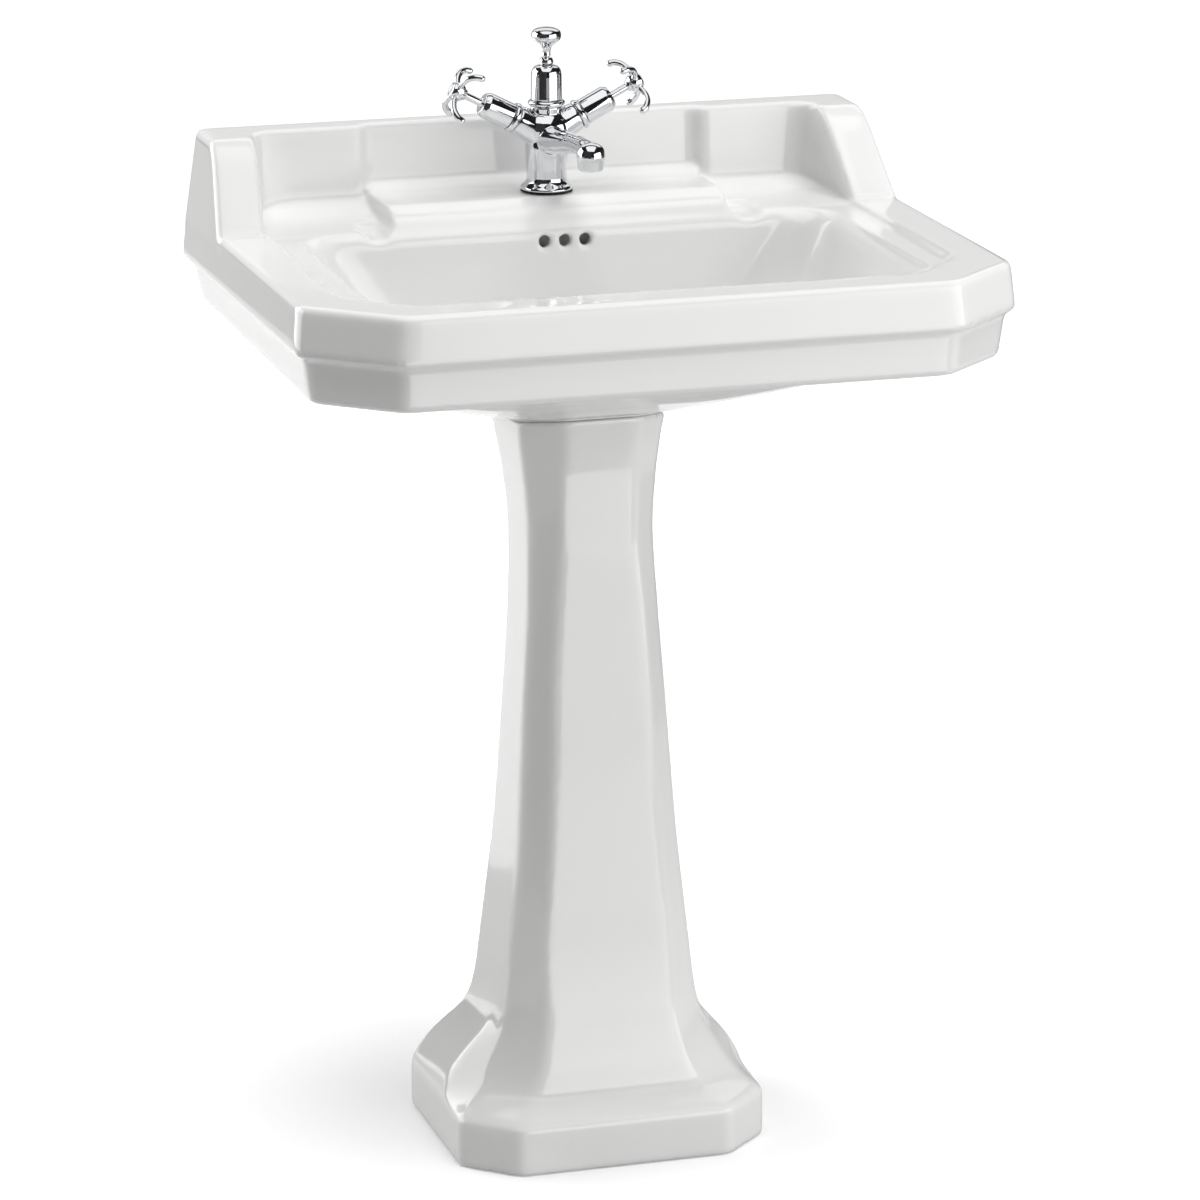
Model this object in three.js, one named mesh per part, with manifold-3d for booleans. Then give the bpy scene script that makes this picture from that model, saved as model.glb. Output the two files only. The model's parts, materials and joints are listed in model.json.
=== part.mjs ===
// A pedestal sink: a vitreous china basin on a hollow china pedestal, with a one-hole basin mixer,
// its lever-operated pop-up waste, a bottle trap and the fixings that hold the parts together.
// Millimetres, +Z up, front towards -Y. The origin is on the floor, under the centre of the basin.
import * as THREE from "three";
import { mergeVertices } from "three/addons/utils/BufferGeometryUtils.js";
import Module from "manifold-3d";

const wasm = await Module();
wasm.setup();

// ---- Driving dimensions ----
const GAP = 0.3; // between pieces that touch in the real object

// Basin
const WIDTH = 615;
const DEPTH = 474.2;
const BACK_Y = DEPTH / 2;
const RIM_Z = 801;
const BAND_Z = 759.4; // underside of the raised band round the rim
const SKIRT_Z = 719.5;
const UPSTAND_Z = 871.4;
const WING_ROUND_Z = 852; // where the sloping front of the wing starts to round over
const RECESS_Z = 796; // lower flat inside the raised rim
const RIM_SIDE = 262; // half-width of the recess inside the rim
const CORNER_X = 70;
const CORNER_Y = 62.5;
const WALL = 14; // china wall of the skirt
const DECK_UNDER_Z = 783;
const PANEL_HALF = 150; // half-width of the tap ledge and of the middle back panel
const LEDGE_Z = 814;
const SEAT_Z = 652; // front edge of the sloping flat that rests on the pedestal
const SEAT_FRONT_Y = -8;
const SEAT_SLOPE = 0.165; // the flat falls towards the wall
const BELLY_LEVEL_Z = 735; // above this the bowl's outside is level again
const BOWL_FLOOR_Z = 662;
const BOSS_Z = 636.5; // level face round the drain hole, under the basin
const DRAIN_Y = 47;
const DRAIN_HOLE_R = 23;
const OVERFLOW_R = 5.5;
const OVERFLOW_PITCH = 18.1;
const OVERFLOW_Z = 781;
const WALL_FIXING_X = 140;
const WALL_FIXING_Z = 752;

// Pedestal
const PEDESTAL_TOP_Z = SEAT_Z - 2.4;
const PEDESTAL_WALL = 11;
const FLOOR_FIXING_X = 92;
const FLOOR_FIXING_Y = 98;

// Tap
const TAP_Y = 162;
const TAP_HOLE_R = 17.5;
const TAP_TOP = 74.5; // top of the body above the ledge
const ARM_Z = 50; // where the arm axes meet, above the ledge
const ARM_TILT = 63; // degrees from upright
const ARM_END = 31;
const BONNET_END = 65;
const HUB_START = 81;
const SPOKE_REACH = 28;
const SPOKE_HOOK = 10; // how far the spoke tips bend back
const SPOUT_REACH = 133;
const OUTLET_Z = 42.2;
const TAIL_X = 10.5; // supply tails in the tap hole
const STUD_Y = 11; // fixing studs in the tap hole
const TAIL_SPREAD = 22; // supply tails below the basin
const TAIL_END_Z = 520;

// Pop-up waste
const ROD_R = 2.5;
const LIFT = 28; // travel of the knob
const PIVOT_Y = 75; // ball of the pivot rod
const PIVOT_Z = 600;
const PIVOT_ROD_R = 2;
const REAR_ARM = 87; // ball to lift rod
const FRONT_ARM = 28; // ball to plug stem
const PIVOT_TILT = Math.asin(LIFT / 2 / REAR_ARM); // rear end low at rest
const TRAP_OUTLET_Z = 500;
const PIPE_END_Y = BACK_Y - 14;

// ---- Materials ----
const finish = (color, roughness, metalness) =>
  new THREE.MeshStandardMaterial({ color, roughness, metalness });
const CHINA = finish(0xf1f1ee, 0.12, 0);
const CHROME = finish(0xc9ccd0, 0.08, 1);
const BRASS = finish(0xb8954f, 0.35, 1);
const COPPER = finish(0xb87348, 0.35, 1);
const STEEL = finish(0x9a9da0, 0.4, 1);
const RUBBER = finish(0x1c1c1c, 0.85, 0);
const NYLON = finish(0xe6e4dc, 0.55, 0);

// ---- Solids ----
function toSolid(geometry) {
  const plain = geometry.clone();
  plain.deleteAttribute("normal");
  plain.deleteAttribute("uv");
  const merged = mergeVertices(plain, 1e-3);
  const vertProperties = new Float32Array(merged.attributes.position.array);
  const triVerts = new Uint32Array(merged.index.array);
  const solid = new wasm.Manifold(new wasm.Mesh({ numProp: 3, vertProperties, triVerts }));
  if (solid.volume() > 0) return solid;
  for (let i = 0; i < triVerts.length; i += 3)
    [triVerts[i], triVerts[i + 1]] = [triVerts[i + 1], triVerts[i]];
  return new wasm.Manifold(new wasm.Mesh({ numProp: 3, vertProperties, triVerts }));
}

function toGeometry(solid) {
  const mesh = solid.getMesh();
  return new THREE.BufferGeometry()
    .setAttribute("position", new THREE.BufferAttribute(new Float32Array(mesh.vertProperties), 3))
    .setIndex(new THREE.BufferAttribute(new Uint32Array(mesh.triVerts), 1));
}

const join = (...parts) => parts.reduce((all, part) => all.add(part));
const cut = (solid, ...tools) => tools.reduce((rest, tool) => rest.subtract(tool), solid);

// A solid of revolution about +Z. The profile lists [radius, z] and ends on the axis or closes.
function turned(profile, sides = 16) {
  const points = profile.map(([r, z]) => new THREE.Vector2(r, z));
  return toSolid(new THREE.LatheGeometry(points, sides).rotateX(Math.PI / 2));
}

const rod = (r, z0, z1, sides) => turned([[0, z0], [r, z0], [r, z1], [0, z1]], sides);
const ring = (inner, outer, z0, z1, sides) =>
  turned([[inner, z0], [outer, z0], [outer, z1], [inner, z1], [inner, z0]], sides);

const move = (solid, x, y, z) => solid.translate([x, y, z]);
const alongY = (solid, x, y, z) => solid.rotate([-90, 0, 0]).translate([x, y, z]);

function block(x0, x1, y0, y1, z0, z1) {
  const box = new THREE.BoxGeometry(x1 - x0, y1 - y0, z1 - z0);
  return toSolid(box.translate((x0 + x1) / 2, (y0 + y1) / 2, (z0 + z1) / 2));
}

// A [y, z] outline drawn out along X.
function ribAlongX(outline, x0, x1) {
  const shape = new THREE.Shape(outline.map(([y, z]) => new THREE.Vector2(y, z)));
  const geometry = new THREE.ExtrudeGeometry(shape, { depth: x1 - x0, bevelEnabled: false });
  geometry.applyMatrix4(new THREE.Matrix4().set(0, 0, 1, x0, 1, 0, 0, 0, 0, 1, 0, 0, 0, 0, 0, 1));
  return toSolid(geometry);
}

// A six-sided nut with a hole, its axis along +Z.
function hexNut(hole, acrossCorners, z0, z1, sides = 12) {
  const shape = new THREE.Shape().setFromPoints(circlePoints(acrossCorners / 2, 6));
  shape.holes.push(new THREE.Path().setFromPoints(circlePoints(hole, sides)));
  const geometry = new THREE.ExtrudeGeometry(shape, { depth: z1 - z0, bevelEnabled: false });
  return toSolid(geometry.translate(0, 0, z0));
}

function circlePoints(r, sides) {
  return Array.from({ length: sides }, (_, i) => {
    const angle = (i / sides) * 2 * Math.PI;
    return new THREE.Vector2(r * Math.cos(angle), r * Math.sin(angle));
  });
}

// Closed rings with the same number of points, skinned into one solid with flat ends.
function loft(rings) {
  const count = rings[0].length;
  const position = rings.flat().flatMap((p) => [p.x, p.y, p.z]);
  const index = [];
  for (let k = 0; k + 1 < rings.length; k++)
    for (let i = 0; i < count; i++) {
      const [a, b] = [k * count + i, k * count + ((i + 1) % count)];
      index.push(a, b, a + count, b, b + count, a + count);
    }
  const last = (rings.length - 1) * count;
  index.push(...capOf(rings[0]).flatMap(([a, b, c]) => [a, c, b]));
  index.push(...capOf(rings.at(-1)).flatMap(([a, b, c]) => [last + a, last + b, last + c]));
  const geometry = new THREE.BufferGeometry();
  geometry.setAttribute("position", new THREE.Float32BufferAttribute(position, 3));
  return toSolid(geometry.setIndex(index));
}

// Triangles across a flat ring, in the plane that it lies in.
function capOf(points) {
  const normal = new THREE.Vector3();
  const origin = points[0];
  for (let i = 1; i + 1 < points.length; i++)
    normal.add(
      new THREE.Vector3().crossVectors(points[i].clone().sub(origin), points[i + 1].clone().sub(origin)),
    );
  const upright = new THREE.Quaternion().setFromUnitVectors(normal.normalize(), new THREE.Vector3(0, 0, 1));
  const flat = points.map((p) => p.clone().applyQuaternion(upright));
  return THREE.ShapeUtils.triangulateShape(flat.map((p) => new THREE.Vector2(p.x, p.y)), []);
}

// A level ring at height z through [x, y, rounding] corners.
function roundedRing(corners, z, steps = 2) {
  const at = (i) => corners[(i + corners.length) % corners.length];
  return corners.flatMap(([x, y, rounding], i) => {
    const towards = ([nx, ny]) => {
      const length = Math.hypot(nx - x, ny - y);
      return new THREE.Vector2(x + ((nx - x) * rounding) / length, y + ((ny - y) * rounding) / length);
    };
    const bend = new THREE.QuadraticBezierCurve(
      towards(at(i - 1)), new THREE.Vector2(x, y), towards(at(i + 1)));
    return bend.getPoints(steps).map((p) => new THREE.Vector3(p.x, p.y, z));
  });
}

// A ring of the bowl's outside or of the pedestal's top, let down towards the wall as the seat is.
function sloped(points, amount = 1) {
  return points.map((p) => p.setZ(p.z - SEAT_SLOPE * (p.y - SEAT_FRONT_Y) * amount));
}

// A bar along a curve whose radius changes from end to end.
function taperedBar(curve, radiusAt, sides = 12, steps = 8) {
  const frames = curve.computeFrenetFrames(steps, false);
  return loft(
    Array.from({ length: steps + 1 }, (_, k) => {
      const centre = curve.getPointAt(k / steps);
      return circlePoints(radiusAt(k / steps), sides).map((p) =>
        centre.clone().addScaledVector(frames.normals[k], p.x).addScaledVector(frames.binormals[k], p.y),
      );
    }),
  );
}

// A tube along a curve.
function tubeAlong(points, outer, inner, steps) {
  const shape = new THREE.Shape().setFromPoints(circlePoints(outer, 8));
  shape.holes.push(new THREE.Path().setFromPoints(circlePoints(inner, 8)));
  const extrudePath = new THREE.CatmullRomCurve3(points, false, "centripetal");
  return toSolid(new THREE.ExtrudeGeometry(shape, { steps, extrudePath, bevelEnabled: false }));
}

const mix = THREE.MathUtils.lerp;
const share = (value, from, to) => (value - from) / (to - from);

// ---- Basin ----
// The outer plan: square at the wall, with the two front corners cut off. taper narrows it at the wall.
function basinPlan(z, inset, cornerCut = 0, taper = 0, rounding = 9) {
  const half = WIDTH / 2 - inset;
  const rear = half - taper;
  const front = -DEPTH / 2 + inset;
  const [cx, cy] = [CORNER_X - cornerCut, CORNER_Y - cornerCut];
  return roundedRing([
    [rear, BACK_Y, 4], [-rear, BACK_Y, 4],
    [-half, front + cy, rounding], [-half + cx, front, rounding],
    [half - cx, front, rounding], [half, front + cy, rounding],
  ], z);
}

function basinOutside() {
  return loft([
    basinPlan(SKIRT_Z, 15.5, 8, 5), basinPlan(SKIRT_Z + 3, 12.5, 7, 5), basinPlan(BAND_Z - 2, 7.5, 3, 2),
    basinPlan(BAND_Z, 2), basinPlan(BAND_Z + 2.5, 0), basinPlan(RIM_Z - 3, 4), basinPlan(RIM_Z, 6.5),
  ]);
}

// The raised back: a wall with two side panels and a set-back middle panel, and a wing at each end.
function upstandPlan(z) {
  const rise = share(z, RIM_Z, UPSTAND_Z);
  const softTop = Math.max(0, share(z, UPSTAND_Z - 6, UPSTAND_Z)) ** 2;
  const outer = mix(WIDTH / 2 - 4, WIDTH / 2 - 14.5, rise) - 3.5 * softTop;
  const inner = mix(RIM_SIDE, RIM_SIDE - 8, rise);
  const rounding = Math.max(0, share(z, WING_ROUND_Z, UPSTAND_Z)) ** 2.2;
  const wingFront = mix(108.6, 170, rise) + 11 * rounding;
  const panel = mix(199, 204, rise);
  const half = [
    [inner, wingFront, 3], [inner, panel, mix(44, 24, rise)],
    [PANEL_HALF + 6, panel, 5], [PANEL_HALF - 3, panel + 10, 5],
  ];
  const left = half.map(([x, y, bend]) => [-x, y, bend]);
  return roundedRing([
    [outer, BACK_Y, 4], [-outer, BACK_Y, 4], [-outer, wingFront, 3],
    ...left, ...half.reverse(), [outer, wingFront, 3],
  ], z);
}

const upstand = () => loft([790, RIM_Z, 836, WING_ROUND_Z, 862, 868, 870.6, UPSTAND_Z].map(upstandPlan));

// The flat behind the bowl that carries the tap, falling forwards to the bowl.
const tapLedge = () => ribAlongX(
  [[230, 788], [230, 819], [205, 819], [197, 815.5], [187, LEDGE_Z], [137, LEDGE_Z], [121, 808.5],
    [111, 802], [107, 788]], -PANEL_HALF, PANEL_HALF);

// A soap dish beside the ledge, hollowed towards its drain notch.
function soapDish(side) {
  const floor = [[230, 788], [230, 812], [203, 812], [192, 804], [176, 799.5], [112, 796.5], [106, 788]];
  const dish = ribAlongX(floor, PANEL_HALF - 0.5, RIM_SIDE + 6);
  return side > 0 ? dish : dish.mirror([1, 0, 0]);
}

// A shallow channel that drains a soap dish into the bowl.
function drainNotch(side) {
  const section = (y, depth) => [[188, 803], [152, 803], [158, RECESS_Z - depth], [172, RECESS_Z - depth]]
    .map(([x, z]) => new THREE.Vector3(side * x, y, z));
  return loft([section(90, 7), section(128, 5), section(150, 1)]);
}

const recess = () => loft([RECESS_Z, RIM_Z + 3].map((z) => roundedRing([
  [RIM_SIDE, 215, 4], [-RIM_SIDE, 215, 4],
  [-RIM_SIDE, -140, 16], [-RIM_SIDE + 50, -190, 16],
  [RIM_SIDE - 50, -190, 16], [RIM_SIDE, -140, 16],
], z)));

// Level sections of the bowl: height, half-width, front, back and corner rounding.
const BOWL = [
  [BOWL_FLOOR_Z, 42, 9, 84, 32], [BOWL_FLOOR_Z + 4, 84, -14, 87, 44], [BOWL_FLOOR_Z + 14, 118, -42, 90, 56],
  [690, 150, -74, 92, 64], [708, 180, -103, 95, 66], [736, 206, -138, 99, 62], [772, 224, -168, 103, 50],
  [RECESS_Z - 6, 232, -176, 105, 42], [RECESS_Z, 238, -181, 110, 40], [RIM_Z + 10, 246, -188, 118, 40],
];

function bowlSection([z, half, front, back, rounding]) {
  const r = Math.min(rounding, 0.48 * (back - front));
  return roundedRing([[half, back, r], [-half, back, r], [-half, front, r], [half, front, r]], z, 4);
}

// The outside of the bowl under the skirt, down to the sloping flat that sits on the pedestal.
const BELLY = [
  [SEAT_Z, 67, -12, 126, 36], [657, 92, -32, 126, 46], [668, 140, -74, 126, 62], [682, 187, -108, 126, 74],
  [700, 220, -132, 126, 78], [720, 232, -150, 126, 72], [BELLY_LEVEL_Z, 240, -165, 126, 62],
  [790, 250, -188, 126, 44],
];

function belly() {
  const slopeAt = (z) => Math.max(0, share(z, BELLY_LEVEL_Z, SEAT_Z));
  const boss = move(rod(32, BOSS_Z, BOWL_FLOOR_Z - 4), 0, DRAIN_Y, 0);
  return join(loft(BELLY.map((section) => sloped(bowlSection(section), slopeAt(section[0])))), boss);
}

// The overflow duct cast on the back of the bowl: a rib outside, a channel inside.
const overflowRib = () => ribAlongX(
  [[100, 792], [133, 792], [133, 690], [118, SEAT_Z + 2], [60, SEAT_Z + 2], [90, 700]], -32, 32);
const overflowChannel = () => ribAlongX(
  [[114, 788], [126, 788], [126, 694], [108, 646], [62, 646], [62, 654], [100, 655], [114, 700]], -25, 25);

const overflowHole = (index) =>
  alongY(rod(OVERFLOW_R, 0, 30, 16), index * OVERFLOW_PITCH, 90, OVERFLOW_Z);

function basin() {
  const bowl = loft(BOWL.map(bowlSection));
  const outsideOfBowl = join(belly(), overflowRib());
  const under = loft([
    basinPlan(SKIRT_Z - 1, 20 + WALL, 6, 3), basinPlan(DECK_UNDER_Z, 8 + WALL, 4),
  ]);
  const behindWall = block(-WIDTH, WIDTH, BACK_Y - WALL, BACK_Y + 5, SKIRT_Z - 5, RIM_Z);
  const hollow = cut(under, behindWall, outsideOfBowl);
  const top = join(
    cut(basinOutside(), recess()), upstand(), tapLedge(), soapDish(1), soapDish(-1), outsideOfBowl);
  const wallHoles = [-1, 1].map((side) =>
    alongY(rod(6.5, 0, 40, 16), side * WALL_FIXING_X, BACK_Y - 30, WALL_FIXING_Z));
  return cut(
    top, hollow, bowl, overflowChannel(), ...[-1, 0, 1].map(overflowHole), drainNotch(1), drainNotch(-1),
    move(rod(DRAIN_HOLE_R, BOSS_Z - 5, BOWL_FLOOR_Z + 5), 0, DRAIN_Y, 0),
    move(rod(TAP_HOLE_R, DECK_UNDER_Z - 5, LEDGE_Z + 5), 0, TAP_Y, 0), ...wallHoles,
  );
}

// ---- Pedestal ----
// Level sections, from the floor up. front: half-width and y of the flat front face. corner: where the cut
// corner meets the side. side and back: the side face at its middle and at the rear edge.
const PEDESTAL = [
  { z: 0, front: [95, -74.9], corner: [138.8, -34.9], side: [138.8, 30], back: [138.8, 128.9] },
  { z: 41.5, front: [95, -74.9], corner: [138.8, -34.9], side: [138.8, 30], back: [138.8, 128.9] },
  { z: 45, front: [93, -70], corner: [135.5, -32], side: [138, 28], back: [138, 128] },
  { z: 50, front: [87, -58], corner: [127.5, -26], side: [136.5, 26], back: [136, 127] },
  { z: 57, front: [77, -44], corner: [118, -19], side: [134, 24], back: [132, 126] },
  { z: 70, front: [69, -38.5], corner: [108, -12], side: [127, 22], back: [123.5, 122] },
  { z: 84, front: [64.5, -35.8], corner: [101, -7.5], side: [117, 22], back: [110, 118] },
  { z: 96, front: [62, -33.8], corner: [96, -4], side: [106.5, 22], back: [98.5, 113] },
  { z: 108, front: [60, -32], corner: [92, -1.8], side: [97, 22], back: [92, 108] },
  { z: 129, front: [58.1, -28.4], corner: [87.6, 1], side: [88.4, 22], back: [87.6, 103] },
  { z: 176, front: [56.5, -22.4], corner: [82.4, 3.8], side: [82.4, 25], back: [82.4, 99] },
  { z: 225, front: [53.2, -18.5], corner: [77, 5.4], side: [77, 27], back: [77, 96] },
  { z: 273, front: [49.8, -14], corner: [72.3, 8.2], side: [72.3, 30], back: [72.3, 92.5] },
  { z: 339, front: [46.3, -7.6], corner: [68.2, 13.8], side: [68.2, 34], back: [68.2, 89] },
  { z: 409, front: [43.4, -1.2], corner: [63.8, 18.3], side: [63.8, 38], back: [63.8, 87] },
  { z: 479, front: [38.8, 3.6], corner: [58.8, 22.2], side: [58.8, 42], back: [58.8, 90.5] },
  { z: 543, front: [33.4, 7.4], corner: [56.5, 29], side: [56.5, 46], back: [56.5, 97] },
  { z: 592, front: [32, 5], corner: [59.7, 30], side: [59.7, 50], back: [59.7, 107] },
  { z: 618, front: [31.5, 0.8], corner: [62.8, 29.4], side: [62.8, 52], back: [62.8, 115] },
  { z: PEDESTAL_TOP_Z, front: [34, -6.5], corner: [66.5, 23], side: [66.5, 50], back: [66.5, 121] },
];

function pedestalSection({ z, front, corner, side, back }, wall = 0) {
  const half = [
    [front[0] - 0.4 * wall, front[1] + wall, 7], [corner[0] - wall, corner[1] + 0.4 * wall, 6],
    [side[0] - wall, side[1], 6], [back[0] - wall, back[1] - wall, 4],
  ];
  const left = half.map(([x, y, rounding]) => [-x, y, rounding]).reverse();
  return roundedRing([...left, ...half], z, 2);
}

function pedestal() {
  const outside = PEDESTAL.map((section) => pedestalSection(section));
  const coarse = PEDESTAL.filter((_, i) => i % 2 === 0 || i === PEDESTAL.length - 1);
  const hollow = coarse.map((section) => pedestalSection(section, PEDESTAL_WALL));
  const backSlot = coarse.map(({ z, back }) => {
    const half = back[0] - 2 * PEDESTAL_WALL;
    return roundedRing([[half, 140, 1], [-half, 140, 1], [-half, 70, 1], [half, 70, 1]], z, 1);
  });
  for (const bottom of [hollow[0], backSlot[0]]) bottom.forEach((p) => p.setZ(-2));
  sloped(outside.at(-1));
  sloped(hollow.at(-1)).forEach((p) => p.setZ(p.z + 2));
  backSlot.at(-1).forEach((p) => p.setZ(PEDESTAL_TOP_Z + 2));
  const lugs = [-1, 1].map((side) => block(
    side * 110 - 20, side * 110 + 20, FLOOR_FIXING_Y - 16, FLOOR_FIXING_Y + 16, 0, 16));
  const holes = [-1, 1].map((side) =>
    move(rod(4.5, -2, 20, 12), side * FLOOR_FIXING_X, FLOOR_FIXING_Y, 0));
  const shell = cut(loft(outside), loft(hollow), loft(backSlot));
  return cut(join(shell, ...lugs), ...holes);
}

// The bead that beds the basin on the pedestal, open at the back as the pedestal is.
function beddingSeal() {
  const top = PEDESTAL.at(-1);
  const at = (z, wall) => sloped(pedestalSection({ ...top, z }, wall));
  const outer = loft([at(PEDESTAL_TOP_Z + GAP, 1), at(SEAT_Z - GAP, 1)]);
  const inner = loft([at(PEDESTAL_TOP_Z, 9), at(SEAT_Z, 9)]);
  return cut(outer, inner, block(-41, 41, 80, 130, 600, SEAT_Z));
}

// ---- Tap, in its own frame: the origin on the ledge, on the tap's axis ----
const arm = (solid, side) => solid.rotate([0, side * ARM_TILT, 0]).translate([0, 0, ARM_Z]);

function spout() {
  const path = new THREE.CatmullRomCurve3([
    new THREE.Vector3(0, -4, 45), new THREE.Vector3(0, -40, 49.5), new THREE.Vector3(0, -85, 56),
    new THREE.Vector3(0, -115, 58), new THREE.Vector3(0, -SPOUT_REACH + 3, 56.5),
  ]);
  return taperedBar(path, (t) => mix(12.5, 8, Math.min(1, 1.5 * t)), 12, 8);
}

const NOZZLE = [
  [0, OUTLET_Z], [10.6, OUTLET_Z], [11.1, 46], [12.2, 53], [12.3, 57], [10.6, 62], [6.2, 65.4], [0, 66.4],
];

function tapBody() {
  const column = turned([
    [0, 1.8], [23, 1.8], [23.4, 3.4], [22.3, 5.2], [19.8, 7], [18, 9], [17.4, 12], [17.4, 20],
    [18.3, 31], [18.6, 40], [17.4, 48], [15.4, 55], [14.2, 61], [13.9, TAP_TOP], [0, TAP_TOP],
  ], 24);
  const nozzle = move(turned(NOZZLE), 0, -SPOUT_REACH, 0);
  const branch = turned([
    [0, 0], [16, 0], [15.4, 10], [13.4, 22], [12.6, ARM_END - 2], [12.2, ARM_END], [0, ARM_END],
  ]);
  const arms = [-1, 1].map((side) => arm(branch, side));
  const valveBores = [-1, 1].map((side) => arm(rod(9, 14, ARM_END + 2), side));
  const threads = [[-TAIL_X, 0, 5.4], [TAIL_X, 0, 5.4], [0, -STUD_Y, 3.3], [0, STUD_Y, 3.3]]
    .map(([x, y, r]) => move(rod(r, -1, 11, 12), x, y, 0));
  return cut(
    join(column, ...arms, spout(), nozzle), ...valveBores, ...threads,
    rod(ROD_R + 0.8, 0, TAP_TOP + 1, 12), move(rod(8.8, OUTLET_Z - 1, 50.5), 0, -SPOUT_REACH, 0),
  );
}

const tapGasket = () => ring(TAP_HOLE_R, 22.6, GAP, 1.8 - GAP);
const aerator = () => move(ring(4.5, 8.5, OUTLET_Z + 0.6, 50), 0, -SPOUT_REACH, 0);
const domeRing = () => turned(
  [[5, 74.8], [14.8, 74.8], [16, 76.2], [16.1, 78], [14.9, 79.5], [5, 79.5], [5, 74.8]]);
const dome = () => turned([
  [11.6, 79.8], [13.5, 79.8], [13.3, 84], [13.2, 101.6], [12.4, 106], [9.8, 109], [6, 109.8],
  [3.3, 109.8], [3.3, 107.6], [8.6, 107], [11.4, 101.6], [11.6, 79.8],
], 20);
const rodGuide = () => turned(
  [[3.3, 110.1], [5.4, 110.1], [6.2, 112.4], [5.6, 115], [4.2, 116.6], [3.3, 116.6], [3.3, 110.1]]);

const liftRod = () => rod(ROD_R, PIVOT_Z - REAR_ARM * Math.sin(PIVOT_TILT) + 12 - LEDGE_Z, 128, 12);
const liftKnob = () => cut(turned([
  [0, 117.2], [3.9, 117.2], [3.5, 119.5], [3.6, 122.6], [4.8, 126.2], [8.6, 129.2], [12.2, 132], [13, 135.4],
  [12.4, 139], [9.6, 141.2], [5, 142.4], [0, 142.8],
]), rod(ROD_R + GAP, 116, 128 + GAP, 12));

// A barrel clamped on the foot of the lift rod, with a slack cross hole for the pivot rod.
function linkKnuckle() {
  const z = PIVOT_Z - REAR_ARM * Math.sin(PIVOT_TILT) - LEDGE_Z;
  const body = turned([[0, z - 8], [5, z - 8], [6.5, z - 6], [6.5, z + 22], [5, z + 24], [0, z + 24]], 16);
  return cut(
    body, rod(ROD_R + GAP, z + 12 - GAP, z + 30, 12), alongY(rod(3.6, -12, 12, 16), 0, 0, z),
  );
}

// Under the ledge: a rubber and a steel horseshoe. The slot slips past the tails; two holes take the studs.
function horseshoe(z0, z1) {
  const slot = block(-27, 16.5, -6.3, 6.3, z0 - 1, z1 + 1);
  const holes = [-STUD_Y, STUD_Y].map((y) => move(rod(3.5, z0 - 1, z1 + 1, 16), 0, y, 0));
  return cut(rod(25, z0, z1, 32), slot, ...holes);
}

// ---- One arm of the tap, in its own frame: +Z runs out along the arm from the tap's axis ----
const valve = () => turned([
  [0, 14.6], [8.4, 14.6], [8.4, 37], [6.2, 38], [6.2, 56], [3.6, 56], [3.6, 26.6], [0, 26.6],
]);
const bonnetRing = () => turned(
  [[9, 31.3], [12.8, 31.3], [13.6, 32.6], [13.6, 34.8], [12.6, 36.2], [9, 36.2], [9, 31.3]]);
const bonnet = () => turned([
  [9.4, 36.6], [11.5, 36.6], [11.5, 60.6], [10.9, 62], [9, BONNET_END], [3.9, BONNET_END], [3.9, 62.6],
  [9.4, 60], [9.4, 36.6],
]);
const spindle = () => rod(3.2, 27.2, 89.4, 12);
const indexButton = () => turned([[0, 94.5], [4.6, 94.5], [4.4, 95.8], [3, 96.7], [0, 97.1]], 16);

function handle() {
  const hub = turned([
    [0, HUB_START], [4.6, HUB_START], [5.2, 83.6], [7.6, 85.4], [8.2, 89], [7.8, 93], [6.4, 95.6], [0, 95.6],
  ]);
  const path = new THREE.CatmullRomCurve3([
    new THREE.Vector3(4, 0, 89.5), new THREE.Vector3(13, 0, 91), new THREE.Vector3(21, 0, 89.5),
    new THREE.Vector3(26.5, 0, 85), new THREE.Vector3(SPOKE_REACH, 0, 91 - SPOKE_HOOK),
  ]);
  const spoke = taperedBar(path, (t) => mix(2.5, 3.1, t * t), 6, 6);
  const spokes = [45, 135, 225, 315].map((angle) => spoke.rotate([0, 0, angle]));
  return cut(join(hub, ...spokes), rod(3.5, HUB_START - 1, 89.7, 12), rod(4.9, 94.2, 97, 16));
}

// ---- Supply tails; nut and coupling stand on the tail's end ----
function tail(side) {
  const at = (x, z) => new THREE.Vector3(side * x, TAP_Y, z);
  return tubeAlong([
    at(TAIL_X, LEDGE_Z + 10.4), at(TAIL_X, 800), at(TAIL_X, 760), at(TAIL_X + 2, 742),
    at(TAIL_SPREAD - 2, 708), at(TAIL_SPREAD, 690), at(TAIL_SPREAD, 640), at(TAIL_SPREAD, TAIL_END_Z + 38),
  ], 5, 4, 16);
}

const tailNut = () => hexNut(5.3, 21, 46, 58);
const coupling = () => turned([
  [4, 0], [9.2, 0], [9.2, 14], [7.4, 16], [7.4, 26], [9, 28], [9, 45.7],
  [5.4, 45.7], [5.4, 37], [4, 37], [4, 0],
]);

// ---- Waste, in a frame on the drain's axis with z from the floor ----
function wasteFlange() {
  const top = BOWL_FLOOR_Z;
  const body = turned([
    [18, 612.6], [21.5, 612.6], [21.5, top + GAP], [30, top + GAP], [31, top + 1.2], [30, top + 2.6],
    [20.4, top + 3.2], [18, top + 0.6], [18, 612.6],
  ], 24);
  return cut(body, block(-6, 6, -25, 25, 645, 655));
}
const wasteSeal = () => ring(22, 30, BOSS_Z - 3.4, BOSS_Z - GAP);
const wasteBackNut = () => hexNut(22, 58, BOSS_Z - 15, BOSS_Z - 3.7, 24);

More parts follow.
